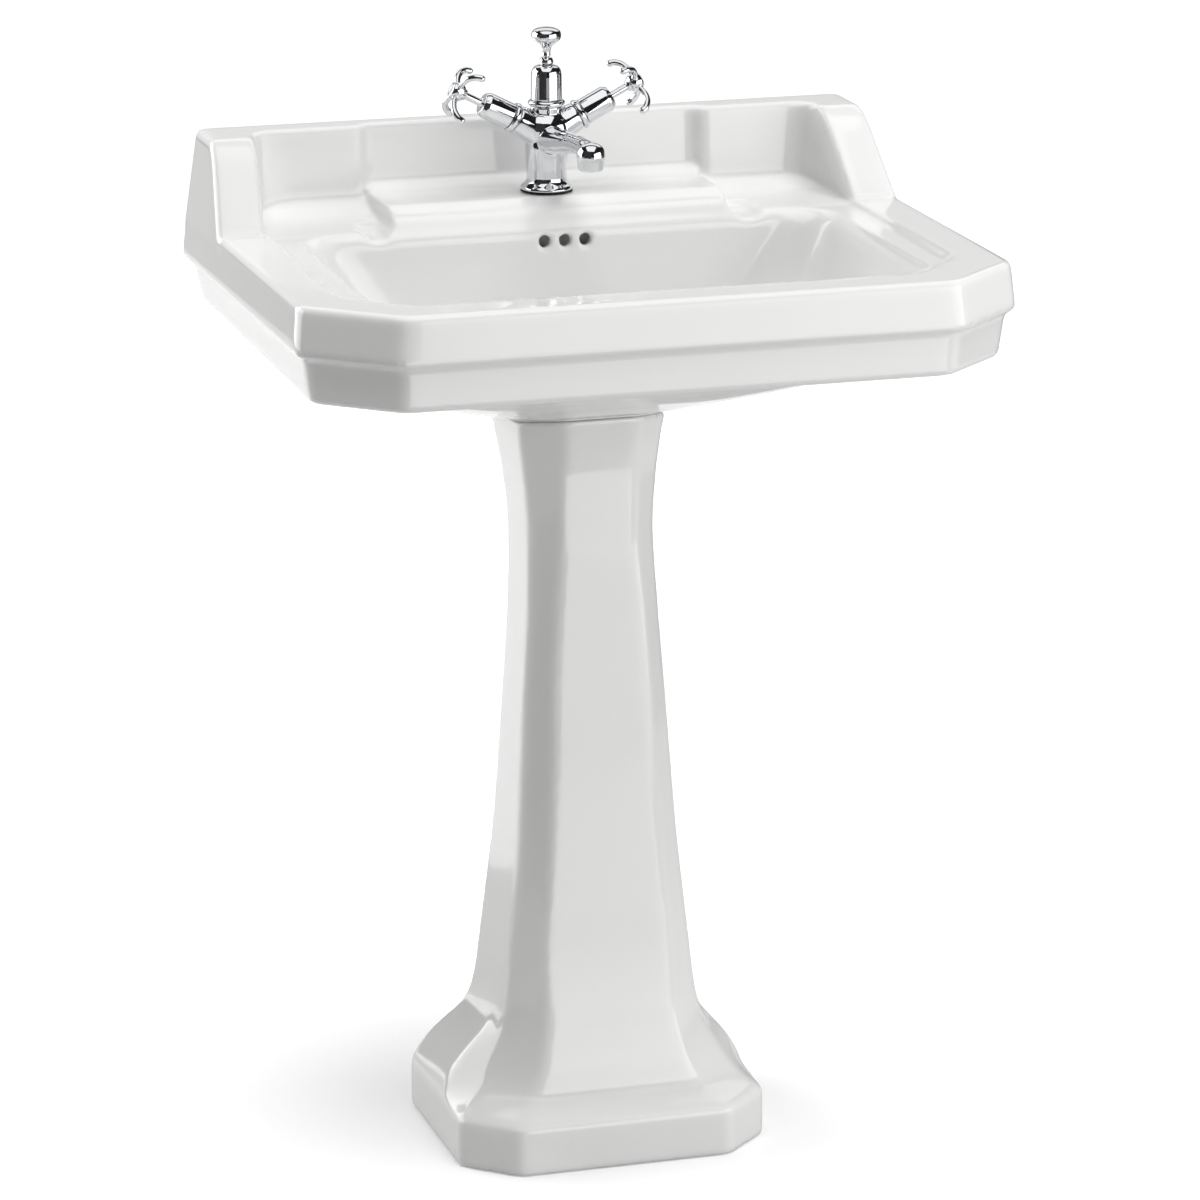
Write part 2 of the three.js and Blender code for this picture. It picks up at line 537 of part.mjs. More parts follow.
function wasteBody() {
  const body = turned([
    [14.2, 545], [16, 545], [16, 582], [22, 588], [25.4, 590], [25.4, 621.2], [22.2, 621.2], [22.2, 612.2],
    [18, 612.2], [18, 590], [14.2, 584], [14.2, 545],
  ]);
  const boss = alongY(rod(9, 21, 36, 16), 0, 0, PIVOT_Z);
  return cut(join(body, boss), alongY(rod(6, 10, 40, 16), 0, 0, PIVOT_Z));
}

const ballCapNut = () => turned(
  [[9.4, -2.4], [12.6, -2.4], [12.6, 9.6], [11.6, 11], [4.4, 11], [4.4, 8.3], [9.4, 8.3], [9.4, -2.4]], 12);
const ballSeat = () => ring(3.8, 5.7, -8.4, -6, 16);
const trapInletNut = () => turned(
  [[16.4, 537], [20.6, 537], [24, 538], [24, 552], [21, 554], [16.4, 554], [16.4, 537]], 16);
const trapDipTube = () => ring(14.2, 16, 466, 544.6);

function trapBody() {
  const bottle = turned([
    [25, 458], [28, 458], [28, 516], [25, 522], [20.2, 524], [20.2, 536.6], [16.4, 536.6], [16.4, 522],
    [22.8, 519], [25, 514], [25, 458],
  ]);
  const outlet = alongY(rod(19, 24, 46), 0, 0, TRAP_OUTLET_Z);
  return cut(join(bottle, cut(outlet, rod(24.9, 470, 518))),
    alongY(rod(16.4, 22, 48), 0, 0, TRAP_OUTLET_Z));
}

const trapCup = () => turned([
  [0, 428], [21, 428], [28, 434], [30.8, 440], [30.8, 472], [28.4, 472], [28.4, 457.6], [24.6, 455],
  [24, 438], [18, 432], [0, 432],
]);
const trapOutletNut = () => turned(
  [[16.4, 46.4], [19.4, 46.4], [22.6, 48], [22.6, 58], [20, 60], [16.4, 60], [16.4, 46.4]], 16);

// ---- Pop-up linkage ----
// The pivot rod lies along +Y through its ball, before it is tilted.
const pivotBall = () => {
  const profile = new THREE.ArcCurve(0, 0, 5.4, -Math.PI / 2, Math.PI / 2, false).getPoints(6)
    .map((p) => [Math.max(0, p.x), p.y]);
  return cut(turned(profile, 16), rod(PIVOT_ROD_R + GAP, -8, 8, 12));
};
const pivotRod = () => rod(PIVOT_ROD_R, -FRONT_ARM - 7, REAR_ARM + 9, 12);

function plug() {
  const eyeZ = PIVOT_Z + FRONT_ARM * Math.sin(PIVOT_TILT);
  const seat = BOWL_FLOOR_Z + 12; // underside of the raised cap
  const head = turned([
    [0, eyeZ + 4], [3.4, eyeZ + 4], [3.4, seat - 8], [13, seat - 5], [13, seat - 0.4], [24, seat + 0.6],
    [24.6, seat + 2], [22, seat + 4.4], [12, seat + 6.2], [0, seat + 6.8],
  ]);
  const eye = alongY(ring(3.6, 6.6, -3, 3, 16), 0, 0, eyeZ);
  return cut(join(head, eye), alongY(rod(3.6, -8, 8, 16), 0, 0, eyeZ));
}
const plugSeal = () => ring(13.3, 17.2, BOWL_FLOOR_Z + 8.4, BOWL_FLOOR_Z + 11.3, 20);

// ---- Fixings ----
const wallBolt = () => rod(5, -30, 0, 12);
const wallWasher = () => ring(5.4, 14, -WALL - 3, -WALL - GAP, 16);
const wallNut = () => hexNut(5.3, 18.9, -WALL - 11.5, -WALL - 3.3);
const floorScrew = () => turned(
  [[0, 0], [3.5, 0], [3.5, 16.3], [8, 16.3], [8, 18.6], [5, 20.8], [0, 21.2]]);

// ---- Assembly ----
const sink = new THREE.Group();
function frameAt(parent, x, y, z) {
  const group = new THREE.Group();
  group.position.set(x, y, z);
  parent.add(group);
  return group;
}
function put(parent, name, solid, material) {
  const mesh = new THREE.Mesh(toGeometry(solid), material);
  mesh.name = name;
  parent.add(mesh);
}

put(sink, "basin", basin(), CHINA);
put(sink, "pedestal", pedestal(), CHINA);
put(sink, "bedding_seal", beddingSeal(), NYLON);

const tap = frameAt(sink, 0, TAP_Y, LEDGE_Z);
put(tap, "tap_body", tapBody(), CHROME);
put(tap, "tap_gasket", tapGasket(), RUBBER);
put(tap, "aerator", aerator(), STEEL);
put(tap, "dome_ring", domeRing(), CHROME);
put(tap, "dome", dome(), CHROME);
put(tap, "rod_guide", rodGuide(), CHROME);
put(tap, "lift_rod", liftRod(), CHROME);
put(tap, "lift_knob", liftKnob(), CHROME);
put(tap, "link_knuckle", linkKnuckle(), BRASS);

const deckUnder = DECK_UNDER_Z - LEDGE_Z;
put(tap, "fixing_rubber", horseshoe(deckUnder - 3.3, deckUnder - GAP), RUBBER);
put(tap, "fixing_plate", horseshoe(deckUnder - 6.6, deckUnder - 3.6), STEEL);
for (const [place, y] of [["front", -STUD_Y], ["rear", STUD_Y]]) {
  put(tap, "fixing_stud_" + place, move(rod(3, deckUnder - 24, 10.4, 12), 0, y, 0), BRASS);
  put(tap, "fixing_nut_" + place, move(hexNut(3.3, 11, deckUnder - 13, deckUnder - 6.9), 0, y, 0), BRASS);
}

for (const [name, side] of [["hot", -1], ["cold", 1]]) {
  const along = frameAt(tap, 0, 0, ARM_Z);
  along.rotation.y = THREE.MathUtils.degToRad(side * ARM_TILT);
  put(along, name + "_valve", valve(), BRASS);
  put(along, name + "_bonnet_ring", bonnetRing(), CHROME);
  put(along, name + "_bonnet", bonnet(), CHROME);
  put(along, name + "_spindle", spindle(), CHROME);
  put(along, name + "_handle", handle(), CHROME);
  put(along, name + "_index_button", indexButton(), CHINA);
  put(sink, name + "_tail", tail(side), COPPER);
  const foot = frameAt(sink, side * TAIL_SPREAD, TAP_Y, TAIL_END_Z);
  put(foot, name + "_tail_nut", tailNut(), BRASS);
  put(foot, name + "_coupling", coupling(), BRASS);
}

const drain = frameAt(sink, 0, DRAIN_Y, 0);
put(drain, "waste_flange", wasteFlange(), CHROME);
put(drain, "waste_seal", wasteSeal(), RUBBER);
put(drain, "waste_back_nut", wasteBackNut(), BRASS);
put(drain, "waste_body", wasteBody(), CHROME);
put(drain, "plug", plug(), CHROME);
put(drain, "plug_seal", plugSeal(), RUBBER);
put(drain, "trap_inlet_nut", trapInletNut(), CHROME);
put(drain, "trap_dip_tube", trapDipTube(), CHROME);
put(drain, "trap_body", trapBody(), CHROME);
put(drain, "trap_cup", trapCup(), CHROME);
put(drain, "trap_outlet_nut", alongY(trapOutletNut(), 0, 0, TRAP_OUTLET_Z), CHROME);
put(drain, "waste_pipe", alongY(ring(14.2, 16, 34, PIPE_END_Y - DRAIN_Y), 0, 0, TRAP_OUTLET_Z), CHROME);

const ball = frameAt(sink, 0, PIVOT_Y, PIVOT_Z);
put(ball, "ball_cap_nut", alongY(ballCapNut(), 0, 0, 0), CHROME);
put(ball, "ball_seat", alongY(ballSeat(), 0, 0, 0), NYLON);
const tilted = frameAt(ball, 0, 0, 0);
tilted.rotation.x = -Math.PI / 2 - PIVOT_TILT;
put(tilted, "pivot_rod", pivotRod(), STEEL);
put(tilted, "pivot_ball", pivotBall(), NYLON);

for (const [place, side] of [["left", -1], ["right", 1]]) {
  const hanger = (solid) => alongY(solid, side * WALL_FIXING_X, BACK_Y, WALL_FIXING_Z);
  put(sink, "wall_bolt_" + place, hanger(wallBolt()), STEEL);
  put(sink, "wall_washer_" + place, hanger(wallWasher()), NYLON);
  put(sink, "wall_nut_" + place, hanger(wallNut()), STEEL);
  put(sink, "floor_screw_" + place, move(floorScrew(), side * FLOOR_FIXING_X, FLOOR_FIXING_Y, 0), STEEL);
}

export default sink;
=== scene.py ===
"""The looks of a pedestal sink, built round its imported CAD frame.

The tables of shapes are in millimetres, in the row frame: +Z up, the front towards -Y. The
objects made from them are in metres.
"""
import json
import math

import bmesh
import bpy
import numpy as np
from mathutils import Matrix, Vector

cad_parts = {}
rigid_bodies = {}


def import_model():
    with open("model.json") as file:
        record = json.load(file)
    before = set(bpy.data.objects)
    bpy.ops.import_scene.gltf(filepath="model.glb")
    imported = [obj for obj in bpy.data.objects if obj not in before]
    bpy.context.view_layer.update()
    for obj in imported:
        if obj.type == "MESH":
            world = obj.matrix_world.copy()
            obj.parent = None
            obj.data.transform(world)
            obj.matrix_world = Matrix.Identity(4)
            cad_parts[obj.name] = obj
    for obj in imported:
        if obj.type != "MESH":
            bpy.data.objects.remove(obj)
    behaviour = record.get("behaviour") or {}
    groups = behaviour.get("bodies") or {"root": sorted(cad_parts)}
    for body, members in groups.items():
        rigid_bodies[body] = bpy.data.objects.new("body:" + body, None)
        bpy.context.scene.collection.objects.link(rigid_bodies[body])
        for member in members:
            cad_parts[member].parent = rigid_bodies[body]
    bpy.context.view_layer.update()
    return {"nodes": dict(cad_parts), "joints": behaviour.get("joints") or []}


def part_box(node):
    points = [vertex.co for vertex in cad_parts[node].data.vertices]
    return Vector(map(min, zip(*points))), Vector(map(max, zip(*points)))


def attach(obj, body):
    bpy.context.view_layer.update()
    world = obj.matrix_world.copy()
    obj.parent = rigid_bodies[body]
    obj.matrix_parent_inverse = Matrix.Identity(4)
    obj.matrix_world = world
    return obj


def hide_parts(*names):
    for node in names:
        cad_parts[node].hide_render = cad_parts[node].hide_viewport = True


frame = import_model()
MM = 0.001


# ---- Camera ----
def add_camera():
    target = Vector((0, 0.003, 0.4881))
    azimuth, pitch, distance = math.radians(-16.91), math.radians(15.58), 4.7313
    back = Vector((
        math.sin(azimuth) * math.cos(pitch), -math.cos(azimuth) * math.cos(pitch), math.sin(pitch)))
    data = bpy.data.cameras.new("camera")
    data.sensor_width = 36
    data.lens = 165.98
    camera = bpy.data.objects.new("camera", data)
    camera.location = target + back * distance
    camera.rotation_mode = "QUATERNION"
    camera.rotation_quaternion = back.to_track_quat("Z", "Y")
    bpy.context.scene.collection.objects.link(camera)
    bpy.context.scene.camera = camera


add_camera()


# ---- Places taken from the frame ----
def box(node):
    """The node's corners at rest, in millimetres."""
    low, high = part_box(node)
    return np.array(low) / MM, np.array(high) / MM


def middle(node):
    low, high = box(node)
    return (low + high) / 2


def joint(name):
    return next(j for j in frame["joints"] if j["name"] == name)


BASIN_LOW, BASIN_HIGH = box("basin")
WIDTH = BASIN_HIGH[0] - BASIN_LOW[0]
BACK_Y = BASIN_HIGH[1]
FRONT_Y = BASIN_LOW[1]
UPSTAND_Z = BASIN_HIGH[2]
GAP = 0.3  # between pieces that touch in the real object
LEDGE_Z = box("tap_gasket")[0][2] - GAP
TAP_Y = middle("lift_rod")[1]
DRAIN_Y = middle("waste_flange")[1]
TAIL_SPREAD = middle("cold_coupling")[0]
TAIL_END_Z = box("cold_coupling")[0][2]
TRAP_OUTLET_Z = middle("waste_pipe")[2]


# ---- Meshes: a shape is (points, faces) ----
def rounded_ring(corners, z, steps=10):
    """A level ring at height z through (x, y, rounding) corners."""
    points = []
    for i, (x, y, rounding) in enumerate(corners):
        corner = np.array([x, y], float)
        ends = []
        for nx, ny, _ in (corners[i - 1], corners[(i + 1) % len(corners)]):
            along = np.array([nx, ny], float) - corner
            ends.append(corner + along * rounding / np.linalg.norm(along))
        for t in np.linspace(0, 1, steps + 1):
            p = (1 - t) ** 2 * ends[0] + 2 * t * (1 - t) * corner + t ** 2 * ends[1]
            points.append([p[0], p[1], z])
    return np.array(points)


def loft(rings):
    """Closed rings with the same number of points, skinned, with flat ends."""
    count = len(rings[0])
    faces = []
    for k in range(len(rings) - 1):
        for i in range(count):
            a, b = k * count + i, k * count + (i + 1) % count
            faces.append((a, b, b + count, a + count))
    last = (len(rings) - 1) * count
    faces.append(tuple(reversed(range(count))))
    faces.append(tuple(last + i for i in range(count)))
    return np.vstack(rings), faces


def turned(profile, sides=72):
    """A solid of revolution about +Z from (radius, z) points, which start and end on the axis or close."""
    closed = tuple(profile[0]) == tuple(profile[-1])
    outline = profile[:-1] if closed else profile
    angles = np.arange(sides) * 2 * math.pi / sides
    points, rows = [], []
    for r, z in outline:
        if r < 1e-6:
            rows.append([len(points)] * sides)
            points.append([0, 0, z])
        else:
            rows.append(list(range(len(points), len(points) + sides)))
            points += [[r * math.cos(a), r * math.sin(a), z] for a in angles]
    faces = []
    pairs = list(zip(rows, rows[1:] + rows[:1])) if closed else list(zip(rows, rows[1:]))
    for low, high in pairs:
        for i in range(sides):
            j = (i + 1) % sides
            face = list(dict.fromkeys([low[i], low[j], high[j], high[i]]))
            if len(face) > 2:
                faces.append(tuple(face))
    return np.array(points), faces


def fillet(profile, radius=0.5, steps=4):
    """The profile with each corner off the axis rounded, by no more than its edges leave room for."""
    closed = tuple(profile[0]) == tuple(profile[-1])
    points = [np.array(p, float) for p in (profile[:-1] if closed else profile)]
    rounded = []
    for i, corner in enumerate(points):
        if not closed and i in (0, len(points) - 1):
            rounded.append(corner)
            continue
        ends = []
        for other in (points[i - 1], points[(i + 1) % len(points)]):
            edge = other - corner
            length = np.linalg.norm(edge)
            ends.append(corner + edge / length * min(radius, 0.45 * length))
        for t in np.linspace(0, 1, steps + 1):
            rounded.append((1 - t) ** 2 * ends[0] + 2 * t * (1 - t) * corner + t ** 2 * ends[1])
    if closed:
        rounded.append(rounded[0])
    return [tuple(p) for p in rounded]


def spline(points, count):
    """Points evenly along a smooth curve through the given ones."""
    given = np.array(points, float)
    padded = np.vstack([2 * given[0] - given[1], given, 2 * given[-1] - given[-2]])
    dense = []
    for k in range(len(given) - 1):
        p0, p1, p2, p3 = padded[k:k + 4]
        for t in np.linspace(0, 1, 24, endpoint=False):
            dense.append(0.5 * (2 * p1 + (p2 - p0) * t + (2 * p0 - 5 * p1 + 4 * p2 - p3) * t ** 2
                                + (3 * p1 - p0 - 3 * p2 + p3) * t ** 3))
    dense = np.array(dense + [given[-1]])
    lengths = np.concatenate([[0], np.cumsum(np.linalg.norm(np.diff(dense, axis=0), axis=1))])
    at = np.linspace(0, lengths[-1], count)
    return np.column_stack([np.interp(at, lengths, dense[:, i]) for i in range(dense.shape[1])])


def between(table, count):
    """More rows for a table of sections, on curves through the rows with no overshoot."""
    rows = np.array(table, float)
    steps = np.linalg.norm(np.diff(rows, axis=0), axis=1)
    at = np.concatenate([[0], np.cumsum(steps)])
    slopes = np.diff(rows, axis=0) / steps[:, None]
    tangents = np.zeros_like(rows)
    tangents[0], tangents[-1] = slopes[0], slopes[-1]
    for k in range(1, len(rows) - 1):
        same_way = slopes[k - 1] * slopes[k] > 0
        with np.errstate(divide="ignore", invalid="ignore"):
            weights = (2 * steps[k] + steps[k - 1], steps[k] + 2 * steps[k - 1])
            mean = sum(weights) / (weights[0] / slopes[k - 1] + weights[1] / slopes[k])
        tangents[k] = np.where(same_way, mean, 0)
    found = []
    for x in np.linspace(0, at[-1], count):
        k = min(np.searchsorted(at, x, "right") - 1, len(steps) - 1)
        t = (x - at[k]) / steps[k]
        found.append(
            (2 * t ** 3 - 3 * t ** 2 + 1) * rows[k] + (t ** 3 - 2 * t ** 2 + t) * steps[k] * tangents[k]
            + (3 * t ** 2 - 2 * t ** 3) * rows[k + 1] + (t ** 3 - t ** 2) * steps[k] * tangents[k + 1])
    return found


def tube(path, radii, sides=32, bore=None):
    """A bar, or with a bore a tube, along a path."""
    path = np.array(path, float)
    radii = np.broadcast_to(radii, len(path))
    tangents = np.gradient(path, axis=0)
    tangents /= np.linalg.norm(tangents, axis=1)[:, None]
    side = np.cross(tangents[0], [0.31, 0.95, 0.05])
    side /= np.linalg.norm(side)
    angles = np.arange(sides) * 2 * math.pi / sides
    rings = []
    for centre, along, r in zip(path, tangents, radii):
        side = side - along * side.dot(along)
        side /= np.linalg.norm(side)
        up = np.cross(along, side)
        rings.append([centre + r * (math.cos(a) * side + math.sin(a) * up) for a in angles])
    if bore is None:
        return loft([np.array(r) for r in rings])
    inner = [np.array(path[k]) + (np.array(r) - path[k]) * (bore / radii[k]) for k, r in enumerate(rings)]
    skin = [np.array(r) for r in rings] + inner[::-1]
    count = sides
    faces = []
    for k in range(len(skin)):
        for i in range(count):
            n = (k + 1) % len(skin)
            j = (i + 1) % count
            faces.append((k * count + i, k * count + j, n * count + j, n * count + i))
    return np.vstack(skin), faces


def prism(outline, low, high):
    """A level outline of (x, y) points, raised from low to high."""
    return loft([np.array([[x, y, z] for x, y in outline]) for z in (low, high)])


def block(x, y, z):
    return prism([(x[0], y[0]), (x[1], y[0]), (x[1], y[1]), (x[0], y[1])], z[0], z[1])


def along_x(outline, x0, x1):
    """A (y, z) outline drawn out along X."""
    return loft([np.array([[x, y, z] for y, z in outline]) for x in (x0, x1)])


def rod(r, z0, z1, sides=48):
    return turned([(0, z0), (r, z0), (r, z1), (0, z1)], sides)


def placed(shape, matrix):
    """The shape turned and moved by a matrix whose translation is in millimetres."""
    points, faces = shape
    m = np.array(matrix)
    return np.asarray(points) @ m[:3, :3].T + m[:3, 3], faces


def at(x, y, z):
    return Matrix.Translation((x, y, z))


def ball(r, x, y, z):
    bend = np.linspace(-math.pi / 2, math.pi / 2, 37)
    profile = [(max(0.0, r * math.cos(a)), r * math.sin(a)) for a in bend]
    profile[0], profile[-1] = (0.0, -r), (0.0, r)
    return placed(turned(profile, 64), at(x, y, z))


def facing_y(x, y, z):
    """A frame whose +Z runs along +Y."""
    return at(x, y, z) @ Matrix.Rotation(-math.pi / 2, 4, "X")


def mirrored(shape):
    points, faces = shape
    return points * np.array([-1, 1, 1]), [tuple(reversed(f)) for f in faces]


def make(name, shape):
    """A new mesh object, turned right side out."""
    points, faces = shape
    mesh = bpy.data.meshes.new(name)
    mesh.from_pydata((np.asarray(points) * MM).tolist(), [], faces)
    measured = bmesh.new()
    measured.from_mesh(mesh)
    if measured.calc_volume(signed=True) < 0:
        mesh.flip_normals()
    measured.free()
    piece = bpy.data.objects.new(name, mesh)
    bpy.context.scene.collection.objects.link(piece)
    return piece


def apply_modifiers(piece):
    graph = bpy.context.evaluated_depsgraph_get()
    mesh = bpy.data.meshes.new_from_object(piece.evaluated_get(graph))
    piece.modifiers.clear()
    old = piece.data
    piece.data = mesh
    bpy.data.meshes.remove(old)


def combine(piece, operation, tools):
    """piece joined with or cut by tools, which are shapes or objects. An object is used up."""
    for tool in tools:
        if isinstance(tool, tuple):
            tool = make("tool", tool)
        modifier = piece.modifiers.new("boolean", "BOOLEAN")
        modifier.operation = operation
        modifier.solver = "MANIFOLD"
        modifier.object = tool
        apply_modifiers(piece)
        bpy.data.objects.remove(tool)
    return piece


def join(name, *tools):
    return combine(make(name, tools[0]), "UNION", tools[1:])


def cut(piece, *tools):
    return combine(piece, "DIFFERENCE", tools)


def remesh(piece, voxel):
    modifier = piece.modifiers.new("remesh", "REMESH")
    modifier.mode = "VOXEL"
    modifier.voxel_size = voxel * MM
    apply_modifiers(piece)
    return piece


def soften(piece, rounds, weight=None):
    """Rounds the edges over by moving each point towards its neighbours' mean.

    weight, if given, takes the points in millimetres and says how far each may move, from 0 to 1.
    """
    mesh = piece.data
    points = np.empty(len(mesh.vertices) * 3)
    mesh.vertices.foreach_get("co", points)
    points = points.reshape(-1, 3)
    edges = np.empty(len(mesh.edges) * 2, np.int32)
    mesh.edges.foreach_get("vertices", edges)
    a, b = edges.reshape(-1, 2).T
    count = np.maximum(np.bincount(np.concatenate([a, b]), minlength=len(points)), 1)
    step = np.full(len(points), 0.5) if weight is None else 0.5 * weight(points / MM)
    for _ in range(rounds):
        mean = np.column_stack([
            np.bincount(a, points[b, k], len(points)) + np.bincount(b, points[a, k], len(points))
            for k in range(3)]) / count[:, None]
        points += step[:, None] * (mean - points)
    mesh.vertices.foreach_set("co", points.ravel())
    mesh.update()
    return piece


# ---- Materials ----
def principled(name, **values):
    material = bpy.data.materials.new(name)
    material.use_nodes = True
    shader = material.node_tree.nodes["Principled BSDF"]
    for key, value in values.items():
        shader.inputs[key.replace("_", " ")].default_value = value
    return material, material.node_tree, shader


def noise(tree, scale, detail=3.0, stretch=(1, 1, 1)):
    """Noise over the object's own coordinates."""
    place = tree.nodes.new("ShaderNodeTexCoord")
    mapping = tree.nodes.new("ShaderNodeMapping")
    mapping.inputs["Scale"].default_value = stretch
    texture = tree.nodes.new("ShaderNodeTexNoise")
    texture.inputs["Scale"].default_value = scale
    texture.inputs["Detail"].default_value = detail
    tree.links.new(place.outputs["Object"], mapping.inputs["Vector"])
    tree.links.new(mapping.outputs["Vector"], texture.inputs["Vector"])
    return texture.outputs["Fac"]


def spread(tree, value, low, high, start=0.3, end=0.7):
    ramp = tree.nodes.new("ShaderNodeMapRange")
    for key, number in (("From Min", start), ("From Max", end), ("To Min", low), ("To Max", high)):
        ramp.inputs[key].default_value = number
    tree.links.new(value, ramp.inputs["Value"])
    return ramp.outputs["Result"]


def tint(tree, value, first, second):
    ramp = tree.nodes.new("ShaderNodeValToRGB")
    ramp.color_ramp.elements[0].position = 0.3
    ramp.color_ramp.elements[0].color = (*first, 1)
    ramp.color_ramp.elements[1].position = 0.7
    ramp.color_ramp.elements[1].color = (*second, 1)
    tree.links.new(value, ramp.inputs["Fac"])
    return ramp.outputs["Color"]


def bump(tree, shader, value, strength, distance):
    node = tree.nodes.new("ShaderNodeBump")
    node.inputs["Strength"].default_value = strength
    node.inputs["Distance"].default_value = distance
    tree.links.new(value, node.inputs["Height"])
    tree.links.new(node.outputs["Normal"], shader.inputs["Normal"])


def china():
    material, tree, shader = principled(
        "vitreous_china", IOR=1.52, Coat_Weight=0.35, Coat_Roughness=0.03, Coat_IOR=1.5)
    tree.links.new(tint(tree, noise(tree, 3.0), (0.80, 0.80, 0.79), (0.83, 0.83, 0.825)),
                   shader.inputs["Base Color"])
    tree.links.new(spread(tree, noise(tree, 14.0), 0.07, 0.12), shader.inputs["Roughness"])
    bump(tree, shader, noise(tree, 55.0, 2.0), 0.05, 0.0004)
    return material


def chrome():
    material, tree, shader = principled("chrome_plate", Metallic=1.0)
    tree.links.new(tint(tree, noise(tree, 25.0), (0.72, 0.73, 0.75), (0.79, 0.80, 0.82)),
                   shader.inputs["Base Color"])
    tree.links.new(spread(tree, noise(tree, 60.0), 0.035, 0.075), shader.inputs["Roughness"])
    return material


def metal(name, dark, light, low, high, scale=70.0, stretch=(1, 1, 1), strength=0.08):
    material, tree, shader = principled(name, Metallic=1.0)
    tree.links.new(tint(tree, noise(tree, scale, 4.0), dark, light), shader.inputs["Base Color"])
    tree.links.new(spread(tree, noise(tree, scale * 2.3), low, high), shader.inputs["Roughness"])
    bump(tree, shader, noise(tree, scale * 8, 2.0, stretch), strength, 0.0002)
    return material


def dull(name, dark, light, low, high, scale=120.0, strength=0.2):
    material, tree, shader = principled(name)
    tree.links.new(tint(tree, noise(tree, scale, 4.0), dark, light), shader.inputs["Base Color"])
    tree.links.new(spread(tree, noise(tree, scale * 1.7), low, high), shader.inputs["Roughness"])
    bump(tree, shader, noise(tree, scale * 6, 3.0), strength, 0.0002)
    return material


MATERIALS = {
    "vitreous_china": china(),
    "chrome_plate": chrome(),
    "brass": metal("brass", (0.50, 0.36, 0.14), (0.66, 0.50, 0.24), 0.22, 0.40, stretch=(1, 1, 12)),
    "copper": metal("copper", (0.52, 0.26, 0.14), (0.72, 0.40, 0.25), 0.22, 0.38, scale=45.0),
    "steel": metal("steel", (0.42, 0.43, 0.45), (0.60, 0.61, 0.63), 0.28, 0.45),
    "black_rubber": dull("black_rubber", (0.012, 0.012, 0.012), (0.03, 0.03, 0.03), 0.7, 0.9),
    "white_nylon": dull("white_nylon", (0.72, 0.71, 0.66), (0.80, 0.79, 0.75), 0.42, 0.6, strength=0.08),
    "bedding_silicone": dull(
        "bedding_silicone", (0.72, 0.72, 0.70), (0.79, 0.79, 0.77), 0.35, 0.55, strength=0.1),
}


def show(piece, slot, *nodes, sharp=38):
    """Gives the piece its material and sets it in place of CAD nodes of one body."""
    if isinstance(piece, tuple):
        piece = make(nodes[0] + "_look", piece)
    mesh = piece.data
    mesh.polygons.foreach_set("use_smooth", [True] * len(mesh.polygons))
    mesh.set_sharp_from_angle(angle=math.radians(sharp))
    mesh.materials.clear()
    mesh.materials.append(MATERIALS[slot])
    body = frame["nodes"][nodes[0]].parent.name.removeprefix("body:")
    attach(piece, body)
    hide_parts(*nodes)
    return piece


# ---- Basin ----
RIM_Z = 801.0
BAND_Z = 759.4  # underside of the raised band round the rim
SKIRT_Z = 719.5
WING_ROUND_Z = 852.0  # where the sloping front of the wing starts to round over
RECESS_Z = 796.0
RIM_SIDE = 262.0
CORNER_X = 70.0
CORNER_Y = 62.5
WALL = 14.0
DECK_UNDER_Z = 783.0
PANEL_HALF = 150.0  # half-width of the tap ledge and of the middle back panel
SEAT_Z = 652.0
SEAT_FRONT_Y = -8.0
SEAT_SLOPE = 0.165
BELLY_LEVEL_Z = 735.0
BOWL_FLOOR_Z = 662.0
BOSS_Z = 636.5
OVERFLOW_Z = 781.0
OVERFLOW_PITCH = 18.1
WALL_FIXING_X = 140.0
WALL_FIXING_Z = 752.0
OVERFLOW_R = 5.5
WALL_HOLE_R = 6.5
DRAIN_HOLE_R = 23.0
TAP_HOLE_R = 17.5
CHINA_VOXEL = 2.0


def mix(a, b, t):
    return a + (b - a) * t


def share(value, low, high):
    return (value - low) / (high - low)


def basin_plan(z, inset, corner_cut=0, taper=0, rounding=9):
    half = WIDTH / 2 - inset
    rear = half - taper
    front = FRONT_Y + inset
    cx, cy = CORNER_X - corner_cut, CORNER_Y - corner_cut
    return rounded_ring([
        (rear, BACK_Y, 4), (-rear, BACK_Y, 4), (-half, front + cy, rounding), (-half + cx, front, rounding),
        (half - cx, front, rounding), (half, front + cy, rounding)], z, 8)


def basin_outside():
    return loft([
        basin_plan(SKIRT_Z, 15.5, 8, 5), basin_plan(SKIRT_Z + 3, 12.5, 7, 5),
        basin_plan(BAND_Z - 1, 7.5, 3, 2), basin_plan(BAND_Z, 2), basin_plan(BAND_Z + 2, 0),
        basin_plan(RIM_Z - 2, 3.8), basin_plan(RIM_Z, 5.5)])


def upstand_plan(z):
    """The raised back: two side panels, a set-back middle panel and a wing at each end."""
    rise = share(z, RIM_Z, UPSTAND_Z)
    soft_top = max(0, share(z, UPSTAND_Z - 6, UPSTAND_Z)) ** 2
    outer = mix(WIDTH / 2 - 4, WIDTH / 2 - 14.5, rise) - 2 * soft_top
    inner = mix(RIM_SIDE, RIM_SIDE - 8, rise)
    rounding = max(0, share(z, WING_ROUND_Z, UPSTAND_Z)) ** 2.2
    wing_front = mix(108.6, 170, rise) + 9 * rounding
    panel = mix(199, 204, rise)
    half = [(inner, wing_front, 3), (inner, panel, mix(44, 24, rise)),
            (PANEL_HALF + 6, panel, 5), (PANEL_HALF - 3, panel + 10, 5)]
    left = [(-x, y, bend) for x, y, bend in half]
    return rounded_ring(
        [(outer, BACK_Y, 4), (-outer, BACK_Y, 4), (-outer, wing_front, 3), *left, *reversed(half),
         (outer, wing_front, 3)], z, 8)


